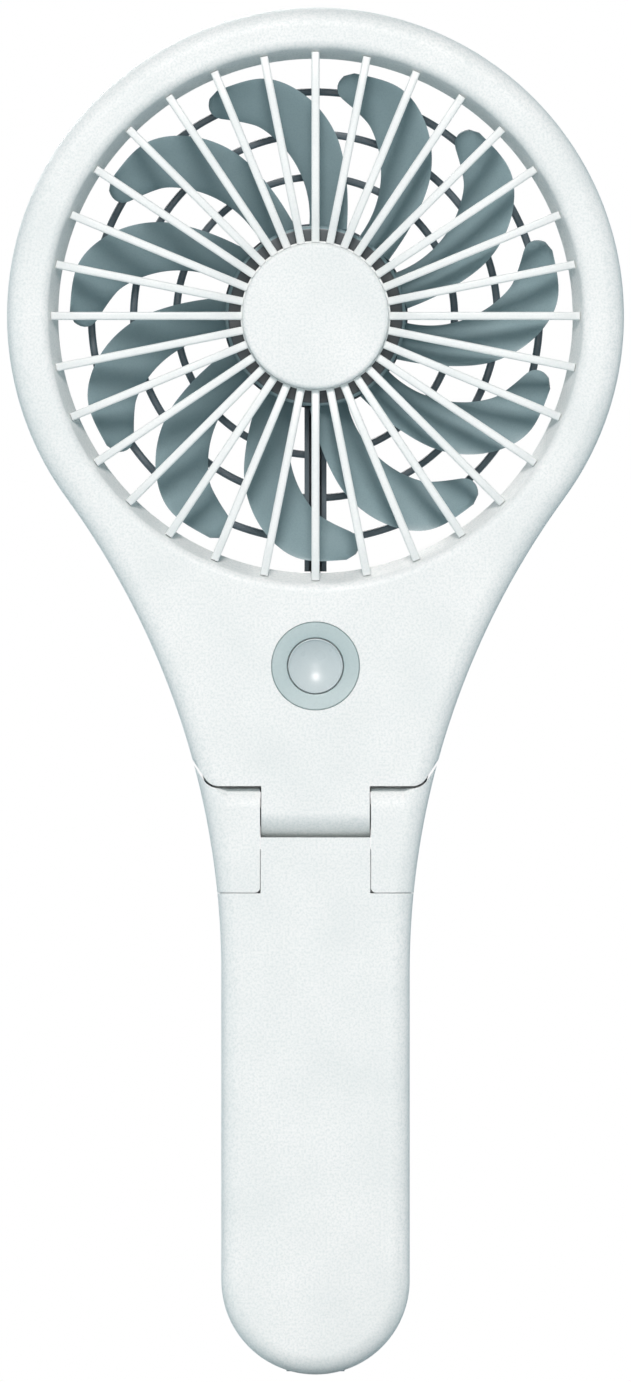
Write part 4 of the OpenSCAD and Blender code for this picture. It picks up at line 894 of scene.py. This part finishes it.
def make_rear_guard():
    """Three ridged rings on radial ribs, the motor's dish, the rim and the lead channel."""
    half_w = GUARD_RIB_W / 2
    section = ([(-half_w, GUARD_BACK), (-half_w, 16.6)] + arc(0, 16.6, half_w, 180, 360, 8)[1:]
               + [(half_w, GUARD_BACK)])
    rib = loft("rib", [[at(r, d, t) for t, d in section] for r in (HUB_R - 1, OPENING_R - 0.1)])
    hook = block("hook", OPENING_R - 1.2, OPENING_R + 0.5, 17.14, 18.6, -half_w, half_w)
    combine(rib, hook, "UNION")
    guard = repeat_round("rear_guard_frame", rib, RIBS, guard_pp)
    ridge = [(-1, 17.6), (-1, 16.3), (-0.75, 15.95), (-0.2, 15.85),
             (0.2, 15.85), (0.75, 15.95), (1, 16.3), (1, 17.6)]
    for r in GUARD_RINGS:
        combine(guard, lathe("ring", [(r + GUARD_RING_HALF * share, d) for share, d in ridge]), "UNION")
    dish = lathe("dish", [(1.8, GUARD_FRONT), (HUB_R + 0.3, GUARD_FRONT)]
                 + arc(HUB_R - 0.3, 18.2, 0.6, 0, 90, 6)
                 + [(HUB_R - 1.9, 18.8), (HUB_R - 2.4, GUARD_BACK + 0.4), (HUB_R - 2.6, GUARD_BACK),
                    (1.8, GUARD_BACK)])
    rim = lathe("rim", [(OPENING_R + 0.1, 17.12), (GUARD_R, 17.12), (GUARD_R, 18.6), (GUARD_R - 0.1, 18.85),
                        (GUARD_R - 0.4, 18.95), (OPENING_R + 0.3, 18.95), (OPENING_R + 0.15, 18.88),
                        (OPENING_R + 0.1, 18.7)], steps=256)
    channel_front = box_mm("rear_guard")[0][1] - FRONT
    low_z, hub_z = RING_Z - OPENING_R, RING_Z - HUB_R
    channel = block("channel", -CHANNEL_HALF, CHANNEL_HALF, channel_front, GUARD_BACK,
                    low_z + 0.25, hub_z - 0.5)
    root = block("root", -CHANNEL_HALF, CHANNEL_HALF, GUARD_FRONT, GUARD_BACK, hub_z - 1.5, hub_z + 0.6)
    combine(channel, root, "UNION")
    for piece in (dish, rim, channel):
        combine(guard, piece, "UNION")
    groove_back = GUARD_BACK - 0.8
    cut(guard, block("groove", -1, 1, channel_front - 1, groove_back, low_z - 1, hub_z + 1),
        block("notch", -1, 1, GUARD_FRONT - 0.3, groove_back, low_z - 1, RING_Z - MOTOR_SCREW_R - 2.5))
    for i in range(3):
        a = radians(i * 120)
        cut(guard, rod("screw_way", MOTOR_SCREW_R * sin(a), RING_Z + MOTOR_SCREW_R * cos(a), 1.1, 14, 20))
    finish(guard, guard_pp, "head", ["rear_guard"], round_mm=0.08)


# ---------------------------------------------------------------- button

def make_button():
    """Dished push button in a satin ring."""
    dish = [(BUTTON_R * k / 24, 0.3 + 1.5 * (1 - (k / 24) ** 2)) for k in range(24)]
    rim = arc(BUTTON_R - 0.14, 0.36, 0.14, -90, 0, 6)
    flange_r = BUTTON_R + 0.9
    profile = dish[:23] + rim + [(BUTTON_R, WALL + 1.25), (flange_r, WALL + 1.25), (flange_r, WALL + 1.95),
                                 (1.6, WALL + 1.95), (1.6, 6.3), (0, 6.3)]
    cap = lathe("power_button_cap", profile, 0, BUTTON_Z, 128)
    finish(cap, button_abs, "button", ["power_button"])
    inner = BUTTON_R + 0.14
    profile = ([(inner, 0.6)] + arc(inner + 0.2, 0.4, 0.2, 180, 270, 5)
               + [(BEZEL_R - 0.9, 0.12), (BEZEL_R - 0.15, 0.08), (BEZEL_R, 0.25), (BEZEL_R, WALL + 0.05),
                  (BEZEL_R + 0.9, WALL + 0.05), (BEZEL_R + 0.9, WALL + 0.95), (inner, WALL + 0.95)])
    ring = lathe("button_ring", profile, 0, BUTTON_Z, 128)
    finish(ring, bezel_pc, "head", ["button_bezel"])


# ---------------------------------------------------------------- screws and plugs

def screw_unit(head_r, shank_r, head_near, head_far, tip):
    """A pan-head screw with a cross recess, pointing forwards from its head."""
    profile = ([(0, tip), (shank_r * 0.4, tip), (shank_r, tip + 1), (shank_r, head_near), (head_r, head_near)]
               + arc(head_r - 0.5, head_far - 0.5, 0.5, 0, 90, 5) + [(0, head_far)])
    unit = lathe("screw", profile, 0, 0, 48)
    for x, z in ((0.22, head_r * 0.62), (head_r * 0.62, 0.22)):
        cut(unit, block("recess", -x, x, head_far - 0.75, head_far + 1, -z, z))
    return unit


def spread_units(name, unit, places, material):
    """Sets a unit at each (x, z) place through a node tree fed with the places as a point mesh."""
    tree = bpy.data.node_groups.new(name + "_places", "GeometryNodeTree")
    face = tree.interface
    face.new_socket("Geometry", in_out="INPUT", socket_type="NodeSocketGeometry")
    unit_id = face.new_socket("Unit", in_out="INPUT", socket_type="NodeSocketObject").identifier
    finish_id = face.new_socket("Finish", in_out="INPUT", socket_type="NodeSocketMaterial").identifier
    face.new_socket("Geometry", in_out="OUTPUT", socket_type="NodeSocketGeometry")
    given = add(tree, "NodeGroupInput").outputs
    source = add(tree, "GeometryNodeObjectInfo", {"Object": given["Unit"]})
    placed = add(tree, "GeometryNodeInstanceOnPoints",
                 {"Points": given["Geometry"], "Instance": source.outputs["Geometry"]})
    real = add(tree, "GeometryNodeRealizeInstances", {"Geometry": placed.outputs[0]})
    painted = add(tree, "GeometryNodeSetMaterial", {"Geometry": real.outputs[0], "Material": given["Finish"]})
    add(tree, "NodeGroupOutput", {"Geometry": painted.outputs[0]})
    made = make_object(name, [(x, 0, z) for x, z in places], [])
    maker = made.modifiers.new("places", "NODES")
    maker.node_group = tree
    maker[unit_id] = unit
    maker[finish_id] = material
    bake(made)
    bpy.data.objects.remove(unit)
    return made


def make_screws():
    """The shells' screws, the motor's three and the plugs over the head's, each set from one unit."""
    tip = 5.5
    jobs = (("head_screws", HEAD_SCREWS, "head", 17.0), ("handle_screws", HANDLE_SCREWS, "handle", 20.0))
    for node_name, places, body, near in jobs:
        made = spread_units(node_name + "_set", screw_unit(1.9, 0.85, near, near + 1.35, tip), places, zinc)
        finish(made, zinc, body, [node_name], dissolve=False)
    ring = arc(0, RING_Z, MOTOR_SCREW_R, 90, -270, 3, False)
    made = spread_units("motor_screws_set", screw_unit(1.7, 0.7, 17.82, 18.7, 14.2), ring, zinc)
    finish(made, zinc, "head", ["motor_screws"], dissolve=False)
    plug = lathe("plug", [(0, 18.4), (2.05, 18.4)] + arc(1.9, 18.8, 0.15, 0, 90, 4) + [(0, 18.95)], 0, 0, 64)
    made = spread_units("head_screw_plugs_set", plug, HEAD_SCREWS, white_abs)
    finish(made, white_abs, "head", ["head_screw_plugs"], dissolve=False)


# ---------------------------------------------------------------- carried-over inner pieces

INNER = {
    "switch_plunger": black_pa, "tact_switch": black_pa, "control_board": board, "speed_leds": led_resin,
    "rotor_cup": zinc, "magnet_ring": black_pa, "motor_shaft": ground, "shaft_clip": zinc,
    "stator_core": lamination, "stator_windings": copper, "bearing_tube": brass, "front_bush": bronze,
    "rear_bush": bronze, "motor_board": board, "motor_lead": black_sleeve,
    "hinge_bracket_left": zinc, "hinge_bracket_right": zinc, "bracket_screws": zinc, "hinge_pin": ground,
    "hinge_bush": ground, "friction_washers": nylon,
    "hinge_lead_lower": red_sleeve, "hinge_lead_upper": red_sleeve,
    "battery_cell": cell_sleeve, "battery_cradle": foam, "battery_leads": red_sleeve, "charge_board": board,
    "usb_socket": zinc, "charge_light_pipe": clear_pipe,
}


def paint_inner():
    """Gives every carried-over node its own finish."""
    for name, material in INNER.items():
        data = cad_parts[name].data
        data.materials.clear()
        data.materials.append(material)


# ---------------------------------------------------------------- studio

def make_floor():
    """Plain pale floor just under the fan, fading to white far away."""
    mesh = bpy.data.meshes.new("floor")
    reach, level = 3, -0.0006
    corners = [(-reach, -reach, level), (reach, -reach, level), (reach, reach, level), (-reach, reach, level)]
    mesh.from_pydata(corners, [], [(0, 1, 2, 3)])
    floor = bpy.data.objects.new("floor", mesh)
    bpy.context.scene.collection.objects.link(floor)
    material, tree, surface, place = start_material("studio_floor", Roughness=0.9)
    tone = spread(tree, noise(tree, place, 40.0), 0.0, 0.3)
    tree.links.new(blend(tree, tone, linear("#B0BDC1"), linear("#A6B4B8")), surface.inputs["Base Color"])
    away = add(tree, "ShaderNodeVectorMath", {0: place}, operation="LENGTH").outputs["Value"]
    fade = spread(tree, away, 0.3, 0.95, 0.1, 2.4)
    seen = add(tree, "ShaderNodeLightPath").outputs["Is Camera Ray"]
    lift = add(tree, "ShaderNodeMath", {0: fade, 1: seen}, operation="MULTIPLY").outputs[0]
    tree.links.new(lift, surface.inputs["Emission Strength"])
    surface.inputs["Emission Color"].default_value = (1, 1, 1, 1)
    mesh.materials.append(material)


def area_light(name, place, target, size, energy, colour):
    data = bpy.data.lights.new(name, "AREA")
    data.shape = "DISK"
    data.size = size
    data.energy = energy
    data.color = linear(colour)[:3]
    made = bpy.data.objects.new(name, data)
    made.location = place
    made.rotation_euler = (Vector(target) - Vector(place)).to_track_quat("-Z", "Y").to_euler()
    bpy.context.scene.collection.objects.link(made)


def make_studio():
    """Soft front light, weak sides and back, and a cool surround; the backdrop shows white."""
    make_floor()
    middle = (0, 0, 0.12)
    area_light("key", (-0.08, -3.12, 1.9), middle, 1.1, 89.0, "#FFF5F2")
    area_light("front", (0, -2.2, 0.05), middle, 0.8, 11.5, "#FFF7F4")
    area_light("left", (-0.9, -0.12, 0.15), middle, 0.5, 1.5, "#FFFFFF")
    area_light("right", (0.9, -0.12, 0.15), middle, 0.5, 1.0, "#FFFFFF")
    area_light("back", (-0.3, 0.9, 0.7), middle, 0.7, 8.0, "#FFF8F4")
    world = bpy.data.worlds.new("studio")
    world.use_nodes = True
    tree = world.node_tree
    tree.nodes.clear()
    seen = add(tree, "ShaderNodeBackground", {"Color": (1, 1, 1, 1), "Strength": 1.0})
    way = add(tree, "ShaderNodeTexCoord").outputs["Generated"]
    back = add(tree, "ShaderNodeSeparateXYZ", {0: way}).outputs["Y"]
    level = spread(tree, back, 0.21, 0.6, 0.1, 1.0)
    around = add(tree, "ShaderNodeBackground", {"Color": linear("#C4EEFB"), "Strength": level})
    direct = add(tree, "ShaderNodeLightPath").outputs["Is Camera Ray"]
    mixed = add(tree, "ShaderNodeMixShader", {0: direct, 1: around.outputs[0], 2: seen.outputs[0]})
    add(tree, "ShaderNodeOutputWorld", {"Surface": mixed.outputs[0]})
    bpy.context.scene.world = world
    bpy.context.scene.view_settings.view_transform = "Standard"


def make_camera():
    """Level front view with parallel lines, the fan filling the tall frame."""
    data = bpy.data.cameras.new("camera")
    data.type = "ORTHO"
    data.ortho_scale = 0.2128
    camera = bpy.data.objects.new("camera", data)
    camera.location = (0, -1.2, (cad_box[0][2] + cad_box[1][2]) / 2)
    camera.rotation_euler = (pi / 2, 0, 0)
    bpy.context.scene.collection.objects.link(camera)
    bpy.context.scene.camera = camera


make_camera()
make_studio()
make_head_front_shell()
make_head_rear_shell()
make_handle_shells()
make_hinge_cover(1)
make_hinge_cover(-1)
make_front_grille()
make_hub_cap()
make_impeller()
make_rear_guard()
make_button()
make_screws()
paint_inner()
